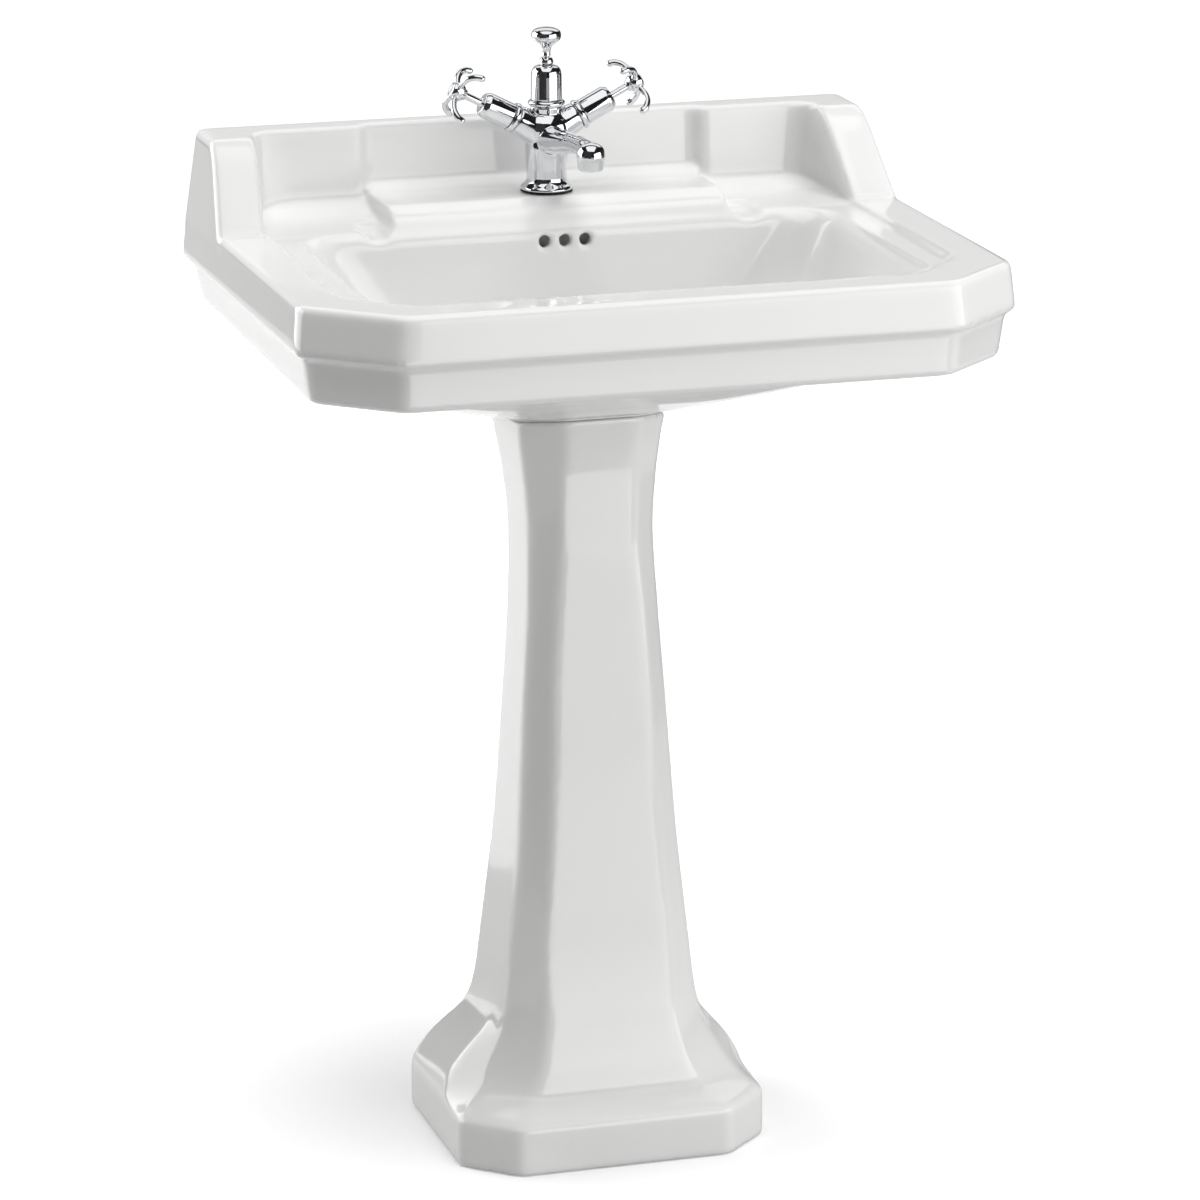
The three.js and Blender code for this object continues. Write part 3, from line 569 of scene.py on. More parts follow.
def upstand():
    heights = [790.0, *np.linspace(RIM_Z, WING_ROUND_Z, 8), *np.linspace(WING_ROUND_Z + 3, UPSTAND_Z, 8)]
    return loft([upstand_plan(z) for z in heights])


def tap_ledge():
    outline = [(230, 788), (230, 819), (205, 819), (197, 815.5), (187, LEDGE_Z), (137, LEDGE_Z),
               (121, 808.5), (111, 802), (107, 788)]
    return along_x(outline, -PANEL_HALF, PANEL_HALF)


def soap_dish():
    outline = [(230, 788), (230, 812), (203, 812), (192, 804), (176, 799.5), (112, 796.5), (106, 788)]
    return along_x(outline, PANEL_HALF - 0.5, RIM_SIDE + 6)


def drain_notch():
    def section(y, depth):
        floor = RECESS_Z - depth
        return np.array([[x, y, z] for x, z in ((188, 803), (152, 803), (158, floor), (172, floor))])
    return loft([section(90, 7), section(128, 5), section(150, 1)])


def recess():
    return loft([rounded_ring([
        (RIM_SIDE, 215, 4), (-RIM_SIDE, 215, 4), (-RIM_SIDE, -140, 16), (-RIM_SIDE + 50, -190, 16),
        (RIM_SIDE - 50, -190, 16), (RIM_SIDE, -140, 16)], z) for z in (RECESS_Z, RIM_Z + 3)])


# Level sections: height, half-width, front, back and corner rounding.
BOWL = [
    (BOWL_FLOOR_Z, 42, 9, 84, 32),
    (BOWL_FLOOR_Z + 4, 84, -14, 87, 44),
    (BOWL_FLOOR_Z + 14, 118, -42, 90, 56),
    (690, 150, -74, 92, 64),
    (708, 180, -103, 95, 66),
    (736, 206, -138, 99, 62),
    (772, 224, -168, 103, 50),
    (RECESS_Z - 6, 232, -176, 105, 42),
    (RECESS_Z, 238, -181, 110, 40),
    (RIM_Z + 10, 246, -188, 118, 40),
]
BELLY = [
    (SEAT_Z, 67, -12, 126, 36),
    (657, 92, -32, 126, 46),
    (668, 140, -74, 126, 62),
    (682, 187, -108, 126, 74),
    (700, 220, -132, 126, 78),
    (720, 232, -150, 126, 72),
    (BELLY_LEVEL_Z, 240, -165, 126, 62),
    (790, 250, -188, 126, 44),
]


def bowl_section(z, half, front, back, rounding):
    r = min(rounding, 0.48 * (back - front))
    return rounded_ring([(half, back, r), (-half, back, r), (-half, front, r), (half, front, r)], z, 14)


def sloped(ring, amount=1.0):
    ring = ring.copy()
    ring[:, 2] -= SEAT_SLOPE * (ring[:, 1] - SEAT_FRONT_Y) * amount
    return ring


def belly():
    rings = []
    for section in between(BELLY, 48):
        slope = max(0.0, share(section[0], BELLY_LEVEL_Z, SEAT_Z))
        rings.append(sloped(bowl_section(*section), slope))
    return loft(rings)


def overflow_rib():
    """The back wall of the bowl, thick enough to hold the duct."""
    outline = [(100, 792), (133, 792), (133, 690), (118, SEAT_Z + 2), (60, SEAT_Z + 2), (90, 700)]
    return along_x(outline, -32, 32)


def overflow_channel():
    """The duct from the overflow holes down to the waste."""
    outline = [
        (114, 788), (126, 788), (126, 694), (108, 646), (62, 646), (62, 654), (100, 655), (114, 700)]
    return along_x(outline, -25, 25)


def under_basin():
    return loft([basin_plan(SKIRT_Z - 1, 20 + WALL, 6, 3), basin_plan(DECK_UNDER_Z, 8 + WALL, 4)])


def near_holes(points):
    """Less smoothing round the overflow holes and the wall bolts' holes, so that they keep their size."""
    calm = np.ones(len(points))
    for index in (-1, 0, 1):
        centre = np.array([index * OVERFLOW_PITCH, 104, OVERFLOW_Z])
        gap = np.linalg.norm((points - centre) * [1, 0.5, 1], axis=1)
        calm = np.minimum(calm, np.clip((gap - 7) / 6, 0.22, 1))
    for side in (-1, 1):
        gap = np.hypot(points[:, 0] - side * WALL_FIXING_X, points[:, 2] - WALL_FIXING_Z)
        calm = np.where(points[:, 1] > 215, np.minimum(calm, np.clip((gap - 8) / 8, 0.25, 1)), calm)
    return calm


def basin():
    outside = [belly(), overflow_rib(), placed(rod(32, BOSS_Z, BOWL_FLOOR_Z - 4), at(0, DRAIN_Y, 0))]
    hollow = cut(
        make("hollow", under_basin()),
        block((-WIDTH, WIDTH), (BACK_Y - WALL, BACK_Y + 5), (SKIRT_Z - 5, RIM_Z)), *outside)
    piece = cut(make("basin_china", basin_outside()), recess())
    combine(piece, "UNION", [upstand(), tap_ledge(), soap_dish(), mirrored(soap_dish()), *outside])
    holes = [placed(rod(OVERFLOW_R, 0, 30), facing_y(i * OVERFLOW_PITCH, 90, OVERFLOW_Z))
             for i in (-1, 0, 1)]
    holes += [placed(rod(WALL_HOLE_R, 0, 40), facing_y(side * WALL_FIXING_X, BACK_Y - 30, WALL_FIXING_Z))
              for side in (-1, 1)]
    cut(piece, hollow, loft([bowl_section(*section) for section in between(BOWL, 60)]), overflow_channel(),
        drain_notch(), mirrored(drain_notch()),
        placed(rod(DRAIN_HOLE_R, BOSS_Z - 5, BOWL_FLOOR_Z + 5), at(0, DRAIN_Y, 0)),
        placed(rod(TAP_HOLE_R, DECK_UNDER_Z - 5, LEDGE_Z + 5), at(0, TAP_Y, 0)), *holes)
    remesh(piece, CHINA_VOXEL)
    soften(piece, 14, near_holes)
    show(piece, "vitreous_china", "basin", sharp=60)


# ---- Pedestal ----
PEDESTAL_WALL = 11.0
PEDESTAL_TOP_Z = SEAT_Z - 2.4
FLOOR_FIXING_X = 92.0
FLOOR_FIXING_Y = 98.0
FLOOR_HOLE_R = 4.5
# Level sections: height, then the half-width and y of the flat front, then the x and y of the
# corner, of the side and of the rear edge.
PEDESTAL = [
    (0, 95, -74.9, 138.8, -34.9, 138.8, 30, 138.8, 128.9),
    (41.5, 95, -74.9, 138.8, -34.9, 138.8, 30, 138.8, 128.9),
    (45, 93, -70, 135.5, -32, 138, 28, 138, 128),
    (50, 87, -58, 127.5, -26, 136.5, 26, 136, 127),
    (57, 77, -44, 118, -19, 134, 24, 132, 126),
    (70, 69, -38.5, 108, -12, 127, 22, 123.5, 122),
    (84, 64.5, -35.8, 101, -7.5, 117, 22, 110, 118),
    (96, 62, -33.8, 96, -4, 106.5, 22, 98.5, 113),
    (108, 60, -32, 92, -1.8, 97, 22, 92, 108),
    (129, 58.1, -28.4, 87.6, 1, 88.4, 22, 87.6, 103),
    (176, 56.5, -22.4, 82.4, 3.8, 82.4, 25, 82.4, 99),
    (225, 53.2, -18.5, 77, 5.4, 77, 27, 77, 96),
    (273, 49.8, -14, 72.3, 8.2, 72.3, 30, 72.3, 92.5),
    (339, 46.3, -7.6, 68.2, 13.8, 68.2, 34, 68.2, 89),
    (409, 43.4, -1.2, 63.8, 18.3, 63.8, 38, 63.8, 87),
    (479, 38.8, 3.6, 58.8, 22.2, 58.8, 42, 58.8, 90.5),
    (543, 33.4, 7.4, 56.5, 29, 56.5, 46, 56.5, 97),
    (592, 32, 5, 59.7, 30, 59.7, 50, 59.7, 107),
    (618, 31.5, 0.8, 62.8, 29.4, 62.8, 52, 62.8, 115),
    (PEDESTAL_TOP_Z, 34, -6.5, 66.5, 23, 66.5, 50, 66.5, 121),
]


def pedestal_ring(row, wall=0.0):
    z, fx, fy, cx, cy, sx, sy, bx, by = row
    half = [(fx - 0.4 * wall, fy + wall, 7), (cx - wall, cy + 0.4 * wall, 6), (sx - wall, sy, 6),
            (bx - wall, by - wall, 4)]
    left = [(-x, y, r) for x, y, r in reversed(half)]
    return rounded_ring([*left, *half], z, 6)


def pedestal_shell():
    foot, rest = PEDESTAL[0], PEDESTAL[1:]
    rows = [foot, *between(rest, 110)]
    outside = [pedestal_ring(row) for row in rows]
    outside[-1] = sloped(outside[-1])
    hollow = [pedestal_ring(row, PEDESTAL_WALL) for row in rows]
    hollow[0][:, 2] = -2
    hollow[-1] = sloped(hollow[-1]) + [0, 0, 2]
    slot = []
    for row in rows:
        z, half = row[0], row[7] - 2 * PEDESTAL_WALL
        slot.append(np.array([[half, 140, z], [-half, 140, z], [-half, 70, z], [half, 70, z]]))
    slot[0][:, 2] = -2
    slot[-1][:, 2] = PEDESTAL_TOP_Z + 2
    return loft(outside), loft(hollow), loft(slot)


def pedestal():
    outside, hollow, slot = pedestal_shell()
    piece = cut(make("pedestal_china", outside), hollow, slot)
    combine(piece, "UNION", [
        block((side * 110 - 20, side * 110 + 20), (FLOOR_FIXING_Y - 16, FLOOR_FIXING_Y + 16), (0, 16))
        for side in (-1, 1)])
    cut(piece, *(
        placed(rod(FLOOR_HOLE_R, -2, 20), at(side * FLOOR_FIXING_X, FLOOR_FIXING_Y, 0))
        for side in (-1, 1)))
    remesh(piece, CHINA_VOXEL)
    soften(piece, 10)
    show(piece, "vitreous_china", "pedestal", sharp=60)


def bedding_seal():
    """The bead between basin and pedestal, pressed out a little between the two."""
    top = list(PEDESTAL[-1])

    def ring_at(z, wall):
        return sloped(pedestal_ring([z, *top[1:]], wall))

    outer = loft([
        ring_at(PEDESTAL_TOP_Z + GAP, 1.4), ring_at(PEDESTAL_TOP_Z + 0.8, 0.8), ring_at(SEAT_Z - 0.8, 0.8),
        ring_at(SEAT_Z - GAP, 1.4)])
    inner = loft([ring_at(PEDESTAL_TOP_Z, 9), ring_at(SEAT_Z, 9)])
    piece = cut(make("bedding_seal_look", outer), inner, block((-41, 41), (80, 130), (600, SEAT_Z)))
    show(piece, "bedding_silicone", "bedding_seal")


basin()
pedestal()
bedding_seal()


# ---- Tap, in its own frame: the origin on the ledge, on the tap's axis ----
TAP = at(0, TAP_Y, LEDGE_Z)
ARM_Z = 50.0
ARM_TILT = 63.0
ARM_END = 31.0
BONNET_END = 65.0
HUB_START = 81.0
SPOKE_REACH = 28.0
SPOKE_HOOK = 10.0
SPOUT_REACH = 133.0
OUTLET_Z = 42.2
TAP_TOP = 74.5
TAIL_X = 10.5
STUD_Y = 11.0
ROD_R = 2.5
TAP_VOXEL = 0.55
HANDLE_VOXEL = 0.42
ARMS = {
    "hot": TAP @ at(0, 0, ARM_Z) @ Matrix.Rotation(math.radians(-ARM_TILT), 4, "Y"),
    "cold": TAP @ at(0, 0, ARM_Z) @ Matrix.Rotation(math.radians(ARM_TILT), 4, "Y"),
}


def lathe(node, slot, matrix, profile, radius=0.5, sides=96):
    show(placed(turned(fillet(profile, radius), sides), matrix), slot, node)


def tap_body():
    column = turned(fillet([
        (0, 1.8), (23, 1.8), (23.4, 3.4), (22.3, 5.2), (19.8, 7), (18, 9), (17.4, 12), (17.4, 20),
        (18.3, 31), (18.6, 40), (17.4, 48), (15.4, 55), (13.2, 61), (12.6, 68), (13.9, TAP_TOP),
        (0, TAP_TOP)], 1.5), 96)
    nozzle = turned(fillet([
        (0, OUTLET_Z), (10.6, OUTLET_Z), (11.1, 46), (12.2, 53), (12.3, 57), (10.6, 62), (6.2, 65.4),
        (0, 66.4)], 2.5), 96)
    path = spline([
        (0, -4, 45), (0, -40, 49.5), (0, -85, 56), (0, -115, 58), (0, -SPOUT_REACH + 3, 56.5)], 60)
    radii = [mix(12.5, 8, min(1, 1.5 * t)) for t in np.linspace(0, 1, 60)]
    arm = turned(fillet([
        (0, 0), (16, 0), (15.4, 10), (13.4, 22), (12.6, ARM_END - 2), (12.2, ARM_END), (0, ARM_END)], 0.6))
    in_tap = [TAP.inverted() @ matrix for matrix in ARMS.values()]
    shoulder = placed(ball(1, 0, 0, 0), at(0, 0, 54.5) @ Matrix.Diagonal((22, 19, 17.8, 1)))
    piece = join("tap_body_look", column, shoulder, *(placed(arm, m) for m in in_tap), tube(path, radii, 64),
                 placed(nozzle, at(0, -SPOUT_REACH, 0)))
    remesh(piece, TAP_VOXEL)
    soften(piece, 7)
    threads = [(-TAIL_X, 0, 5.4), (TAIL_X, 0, 5.4), (0, -STUD_Y, 3.3), (0, STUD_Y, 3.3)]
    cut(piece, *(placed(rod(9, 14, ARM_END + 2), m) for m in in_tap),
        *(placed(rod(r, -1, 11), at(x, y, 0)) for x, y, r in threads), rod(ROD_R + 0.8, 0, TAP_TOP + 1),
        placed(rod(8.8, OUTLET_Z - 1, 50.5), at(0, -SPOUT_REACH, 0)))
    piece.data.transform(Matrix.Translation(TAP.translation * MM))
    show(piece, "chrome_plate", "tap_body")


def aerator():
    """A ring with a grid of two hoops and eight bars."""
    low, high = OUTLET_Z + 0.6, 50.0
    hoops = [turned([(r, low + 0.4), (r + 0.9, low + 0.4), (r + 0.9, low + 2), (r, low + 2), (r, low + 0.4)])
             for r in (2.0, 4.6)]
    shell = turned(fillet([(6.6, low), (8.5, low), (8.5, high), (6.6, high), (6.6, low)], 0.3))
    bars = [placed(block((-0.4, 0.4), (-7, 7), (low + 0.6, low + 1.8)), Matrix.Rotation(angle, 4, "Z"))
            for angle in np.radians((0, 45, 90, 135))]
    piece = join("aerator_look", shell, *hoops, *bars)
    piece.data.transform(Matrix.Translation((TAP @ at(0, -SPOUT_REACH, 0)).translation * MM))
    show(piece, "steel", "aerator")


def tap_trim():
    lathe("tap_gasket", "black_rubber", TAP, [
        (TAP_HOLE_R, GAP), (22.6, GAP), (22.6, 1.8 - GAP), (TAP_HOLE_R, 1.8 - GAP),
        (TAP_HOLE_R, GAP)], 0.3)
    lathe("dome_ring", "chrome_plate", TAP, [
        (5, 74.8), (14.8, 74.8), (16, 76.2), (16.1, 78), (14.9, 79.5), (5, 79.5), (5, 74.8)], 0.8)
    lathe("dome", "chrome_plate", TAP, [
        (11.6, 79.8), (13.5, 79.8), (13.3, 84), (13.2, 101.6), (12.4, 106), (9.8, 109), (6, 109.8),
        (3.3, 109.8), (3.3, 107.6), (8.6, 107), (11.4, 101.6), (11.6, 79.8)], 1.6)
    lathe("rod_guide", "chrome_plate", TAP, [
        (3.3, 110.1), (5.4, 110.1), (6.2, 112.4), (5.6, 115), (4.2, 116.6), (3.3, 116.6), (3.3, 110.1)], 0.8)


tap_body()
aerator()
tap_trim()


def hex_nut(name, hole, across, z0, z1):
    """A nut with its six corners turned off at both faces, and a bevelled hole."""
    angles = np.arange(6) * math.pi / 3
    r, drop = across / 2, 0.055 * across
    piece = make(name, prism([(r * math.cos(a), r * math.sin(a)) for a in angles], z0, z1))
    blank = turned([
        (0, z0), (0.9 * r, z0), (r + 0.1, z0 + drop), (r + 0.1, z1 - drop), (0.9 * r, z1), (0, z1)], 96)
    combine(piece, "INTERSECT", [blank])
    return cut(piece, turned([
        (0, z0 - 1), (hole + 0.6, z0 - 1), (hole + 0.6, z0), (hole, z0 + 0.6), (hole, z1 - 0.6),
        (hole + 0.6, z1), (hole + 0.6, z1 + 1), (0, z1 + 1)], 48))


def move_piece(piece, matrix):
    m = matrix.copy()
    m.translation *= MM
    piece.data.transform(m)
    return piece


def threaded(r, z0, z1, pitch=1.0, depth=0.35, sides=40):
    """A stud with ridges for its thread and a bevel at each end."""
    count = int((z1 - z0 - 2) / pitch)
    start = (z0 + z1 - count * pitch) / 2
    ridges = [(r - (depth if k % 2 == 0 else 0), start + k * pitch / 2) for k in range(2 * count + 1)]
    return turned([(0, z0), (r - depth - 0.3, z0), *ridges, (r - depth - 0.3, z1), (0, z1)], sides)


# ---- The lift rod, its knob and its link ----
PIVOT_Y, PIVOT_Z = np.array(joint("pivot_turn")["pos_m"][1:]) / MM
REAR_ARM = TAP_Y - PIVOT_Y
FRONT_ARM = PIVOT_Y - DRAIN_Y
LIFT = joint("knob_slide")["range_m"][1] / MM
PIVOT_TILT = math.asin(LIFT / 2 / REAR_ARM)
LINK_Z = PIVOT_Z - REAR_ARM * math.sin(PIVOT_TILT)


def lift():
    foot = LINK_Z + 12 - LEDGE_Z
    lathe("lift_rod", "chrome_plate", TAP, [(0, foot), (ROD_R, foot), (ROD_R, 128), (0, 128)], 0.5, 48)
    knob = make("lift_knob_look", placed(turned(fillet([
        (0, 117.2), (3.9, 117.2), (3.5, 119.5), (3.6, 122.6), (4.8, 126.2), (8.6, 129.2), (12.2, 132),
        (13, 135.4), (12.4, 139), (9.6, 141.2), (5, 142.4), (0, 142.8)], 2), 96), TAP))
    show(cut(knob, placed(rod(ROD_R + GAP, 116, 128 + GAP), TAP)), "chrome_plate", "lift_knob")
    stem = at(0, TAP_Y, LINK_Z)
    knuckle = make("link_knuckle_look", placed(turned(fillet([
        (0, -8), (5, -8), (6.5, -6), (6.5, 22), (5, 24), (0, 24)], 0.6), 64), stem))
    cut(knuckle, placed(rod(ROD_R + GAP, 12 - GAP, 30), stem),
        placed(rod(3.6, -12, 12), facing_y(0, TAP_Y, LINK_Z)))
    screw = placed(turned(fillet([(0, 5), (2.2, 5), (2.2, 8.4), (1.6, 9), (0, 9)], 0.3), 40),
                   stem @ at(0, 0, 18) @ Matrix.Rotation(math.pi / 2, 4, "Y"))
    combine(knuckle, "UNION", [screw])
    cut(knuckle, placed(block((-0.4, 0.4), (-3, 3), (8.2, 10)), stem @ at(0, 0, 18)
                        @ Matrix.Rotation(math.pi / 2, 4, "Y")))
    show(knuckle, "brass", "link_knuckle")


# ---- Tap fixings under the ledge ----
DECK_UNDER = DECK_UNDER_Z - LEDGE_Z


def horseshoe(node, slot, z0, z1, edge):
    blank = turned(fillet([(0, z0), (25, z0), (25, z1), (0, z1)], edge), 96)
    piece = make(node + "_look", blank)
    cut(piece, block((-27, 16.5), (-6.3, 6.3), (z0 - 1, z1 + 1)),
        *(placed(rod(3.5, z0 - 1, z1 + 1), at(0, y, 0)) for y in (-STUD_Y, STUD_Y)))
    show(move_piece(piece, TAP), slot, node)


def tap_fixings():
    horseshoe("fixing_rubber", "black_rubber", DECK_UNDER - 3.3, DECK_UNDER - GAP, 0.8)
    horseshoe("fixing_plate", "steel", DECK_UNDER - 6.6, DECK_UNDER - 3.6, 0.5)
    for place, y in (("front", -STUD_Y), ("rear", STUD_Y)):
        stand = TAP @ at(0, y, 0)
        show(placed(threaded(3, DECK_UNDER - 24, 10.4), stand), "brass", "fixing_stud_" + place)
        nut = hex_nut("fixing_nut_look_" + place, 3.3, 11, DECK_UNDER - 13, DECK_UNDER - 6.9)
        show(move_piece(nut, stand), "brass", "fixing_nut_" + place)


# ---- One arm of the tap, in its own frame: +Z runs out along the arm from the tap's axis ----
def handle(name, matrix):
    """A hub with four fingers that hook back over the bonnet."""
    hub = turned(fillet([
        (0, HUB_START), (4.6, HUB_START), (5.2, 83.6), (7.6, 85.4), (8.2, 89), (7.8, 93), (6.4, 95.6),
        (0, 95.6)], 1.2), 72)
    path = spline([
        (4, 0, 89.5), (13, 0, 91), (21, 0, 89.5), (26.5, 0, 85), (SPOKE_REACH, 0, 91 - SPOKE_HOOK)], 40)
    radii = [mix(2.5, 3.1, t * t) for t in np.linspace(0, 1, 40)]
    piece = make(name + "_handle_look", hub)
    for angle in np.radians((45, 135, 225, 315)):
        turn = Matrix.Rotation(angle, 4, "Z")
        combine(piece, "UNION", [placed(tube(path, radii, 32), turn), placed(ball(3.1, *path[-1]), turn)])
    remesh(piece, HANDLE_VOXEL)
    soften(piece, 6)
    cut(piece, rod(3.5, HUB_START - 1, 89.7), rod(4.9, 94.2, 97))
    show(move_piece(piece, matrix), "chrome_plate", name + "_handle")


def tap_arm(name, matrix):
    lathe(name + "_valve", "brass", matrix, [
        (0, 14.6), (8.4, 14.6), (8.4, 37), (6.2, 38), (6.2, 56), (3.6, 56), (3.6, 26.6), (0, 26.6)])
    lathe(name + "_bonnet_ring", "chrome_plate", matrix, [
        (9, 31.3), (12.8, 31.3), (13.6, 32.6), (13.6, 34.8), (12.6, 36.2), (9, 36.2), (9, 31.3)], 0.8)
    lathe(name + "_bonnet", "chrome_plate", matrix, [
        (9.4, 36.6), (11.5, 36.6), (11.5, 60.6), (10.9, 62), (9, BONNET_END), (3.9, BONNET_END), (3.9, 62.6),
        (9.4, 60), (9.4, 36.6)], 0.9)
    lathe(name + "_spindle", "chrome_plate", matrix, [
        (0, 27.2), (3.2, 27.2), (3.2, 89.4), (0, 89.4)], 0.4, 64)
    lathe(name + "_index_button", "vitreous_china", matrix, [
        (0, 94.5), (4.6, 94.5), (4.4, 95.8), (3, 96.7), (0, 97.1)], 0.8)
    handle(name, matrix)


# ---- Supply tails; nut and coupling stand on the tail's end ----
def supply(name, side):
    ends = [(TAIL_X, LEDGE_Z + 10.4), (TAIL_X, 800), (TAIL_X, 760), (TAIL_X + 2, 742),
            (TAIL_SPREAD - 2, 708), (TAIL_SPREAD, 690), (TAIL_SPREAD, 640), (TAIL_SPREAD, TAIL_END_Z + 38)]
    path = spline([(side * x, TAP_Y, z) for x, z in ends], 90)
    show(tube(path, 5.0, 40, bore=4.0), "copper", name + "_tail")
    foot = at(side * TAIL_SPREAD, TAP_Y, TAIL_END_Z)
    nut = move_piece(hex_nut(name + "_tail_nut_look", 5.3, 21, 46, 58), foot)
    show(nut, "brass", name + "_tail_nut")
    lathe(name + "_coupling", "brass", foot, [
        (4, 0), (9.2, 0), (9.2, 14), (7.4, 16), (7.4, 26), (9, 28), (9, 45.7),
        (5.4, 45.7), (5.4, 37), (4, 37), (4, 0)])


# ---- Waste and trap, in a frame on the drain's axis with z from the floor ----
DRAIN = at(0, DRAIN_Y, 0)


def waste():
    top = BOWL_FLOOR_Z
    flange = make("waste_flange_look", turned(fillet([
        (18, 612.6), (21.5, 612.6), (21.5, top + GAP), (30, top + GAP), (31, top + 1.2), (30, top + 2.6),
        (20.4, top + 3.2), (18, top + 0.6), (18, 612.6)], 0.5), 96))
    cut(flange, block((-6, 6), (-25, 25), (645, 655)))
    show(move_piece(flange, DRAIN), "chrome_plate", "waste_flange")
    lathe("waste_seal", "black_rubber", DRAIN, [
        (22, BOSS_Z - 3.4), (30, BOSS_Z - 3.4), (30, BOSS_Z - GAP), (22, BOSS_Z - GAP),
        (22, BOSS_Z - 3.4)], 1.0)
    nut = hex_nut("waste_back_nut_look", 22, 58, BOSS_Z - 15, BOSS_Z - 3.7)
    show(move_piece(nut, DRAIN), "brass", "waste_back_nut")
    boss = placed(turned([(0, 21), (9, 21), (9, 36), (0, 36)], 64), facing_y(0, 0, PIVOT_Z))
    body = join("waste_body_look", turned(fillet([
        (0, 545), (16, 545), (16, 582), (22, 588), (25.4, 590), (25.4, 621.2), (0, 621.2)], 0.5), 96), boss)
    cut(body, turned([
        (0, 540), (14.2, 540), (14.2, 584), (18, 590), (18, 612.2), (22.2, 612.2), (22.2, 625),
        (0, 625)], 96),
        placed(rod(6, 10, 40), facing_y(0, 0, PIVOT_Z)))
    show(move_piece(body, DRAIN), "chrome_plate", "waste_body")
    eye_z = PIVOT_Z + FRONT_ARM * math.sin(PIVOT_TILT)
    seat = BOWL_FLOOR_Z + 12
    plug = join("plug_look", turned(fillet([
        (0, eye_z + 4), (3.4, eye_z + 4), (3.4, seat - 8), (13, seat - 5), (13, seat - 0.4),
        (24, seat + 0.6), (24.6, seat + 2), (22, seat + 4.4), (12, seat + 6.2), (0, seat + 6.8)], 0.9), 96),
        placed(turned(fillet([(3.6, -3), (6.6, -3), (6.6, 3), (3.6, 3), (3.6, -3)], 0.5), 64),
               facing_y(0, 0, eye_z)))
    cut(plug, placed(rod(3.6, -8, 8), facing_y(0, 0, eye_z)))
    show(move_piece(plug, DRAIN), "chrome_plate", "plug")
    lathe("plug_seal", "black_rubber", DRAIN, [
        (13.3, top + 8.4), (17.2, top + 8.4), (17.2, top + 11.3), (13.3, top + 11.3),
        (13.3, top + 8.4)], 1.3)


def knurled(piece, r, z0, z1, count, depth):
    """Flutes round a nut that is turned by hand."""
    flute = turned(fillet([(0, z0), (depth, z0), (depth, z1), (0, z1)], 0.8), 12)
    return cut(piece, *(placed(flute, at(r * math.cos(a), r * math.sin(a), 0))
                        for a in np.arange(count) * 2 * math.pi / count))


def trap():
    inlet_nut = make("trap_inlet_nut_look", turned(fillet([
        (16.4, 537), (20.6, 537), (24, 538), (24, 552), (21, 554), (16.4, 554), (16.4, 537)], 0.6), 96))
    knurled(inlet_nut, 24.2, 539.5, 550.5, 20, 0.9)
    show(move_piece(inlet_nut, DRAIN), "chrome_plate", "trap_inlet_nut")
    lathe("trap_dip_tube", "chrome_plate", DRAIN, [
        (14.2, 466), (16, 466), (16, 544.6), (14.2, 544.6), (14.2, 466)], 0.3)
    outlet = placed(turned([(0, 24), (19, 24), (19, 46), (0, 46)], 96), facing_y(0, 0, TRAP_OUTLET_Z))
    body = join("trap_body_look", turned(fillet([
        (0, 458), (28, 458), (28, 516), (25, 522), (20.2, 524), (20.2, 536.6), (0, 536.6)], 1.2), 96),
        outlet)
    cut(body, turned([
        (0, 450), (25, 450), (25, 514), (22.8, 519), (16.4, 522), (16.4, 540), (0, 540)], 96),
        placed(rod(16.4, 0, 48), facing_y(0, 0, TRAP_OUTLET_Z)))
    show(move_piece(body, DRAIN), "chrome_plate", "trap_body")
    cup = make("trap_cup_look", turned(fillet([
        (0, 428), (21, 428), (28, 434), (30.8, 440), (30.8, 472), (28.4, 472), (28.4, 457.6), (24.6, 455),
        (24, 438), (18, 432), (0, 432)], 1.0), 96))
    knurled(cup, 31.1, 461, 470, 28, 0.9)
    show(move_piece(cup, DRAIN), "chrome_plate", "trap_cup")
    outlet_nut = make("trap_outlet_nut_look", turned(fillet([
        (16.4, 46.4), (19.4, 46.4), (22.6, 48), (22.6, 58), (20, 60), (16.4, 60), (16.4, 46.4)], 0.6), 96))
    knurled(outlet_nut, 22.8, 49, 57, 20, 0.9)
    along = DRAIN @ facing_y(0, 0, TRAP_OUTLET_Z)
    show(move_piece(outlet_nut, along), "chrome_plate", "trap_outlet_nut")
    end = box("waste_pipe")[1][1] - DRAIN_Y
    lathe("waste_pipe", "chrome_plate", along, [
        (14.2, 34), (16, 34), (16, end), (14.2, end), (14.2, 34)], 0.3)


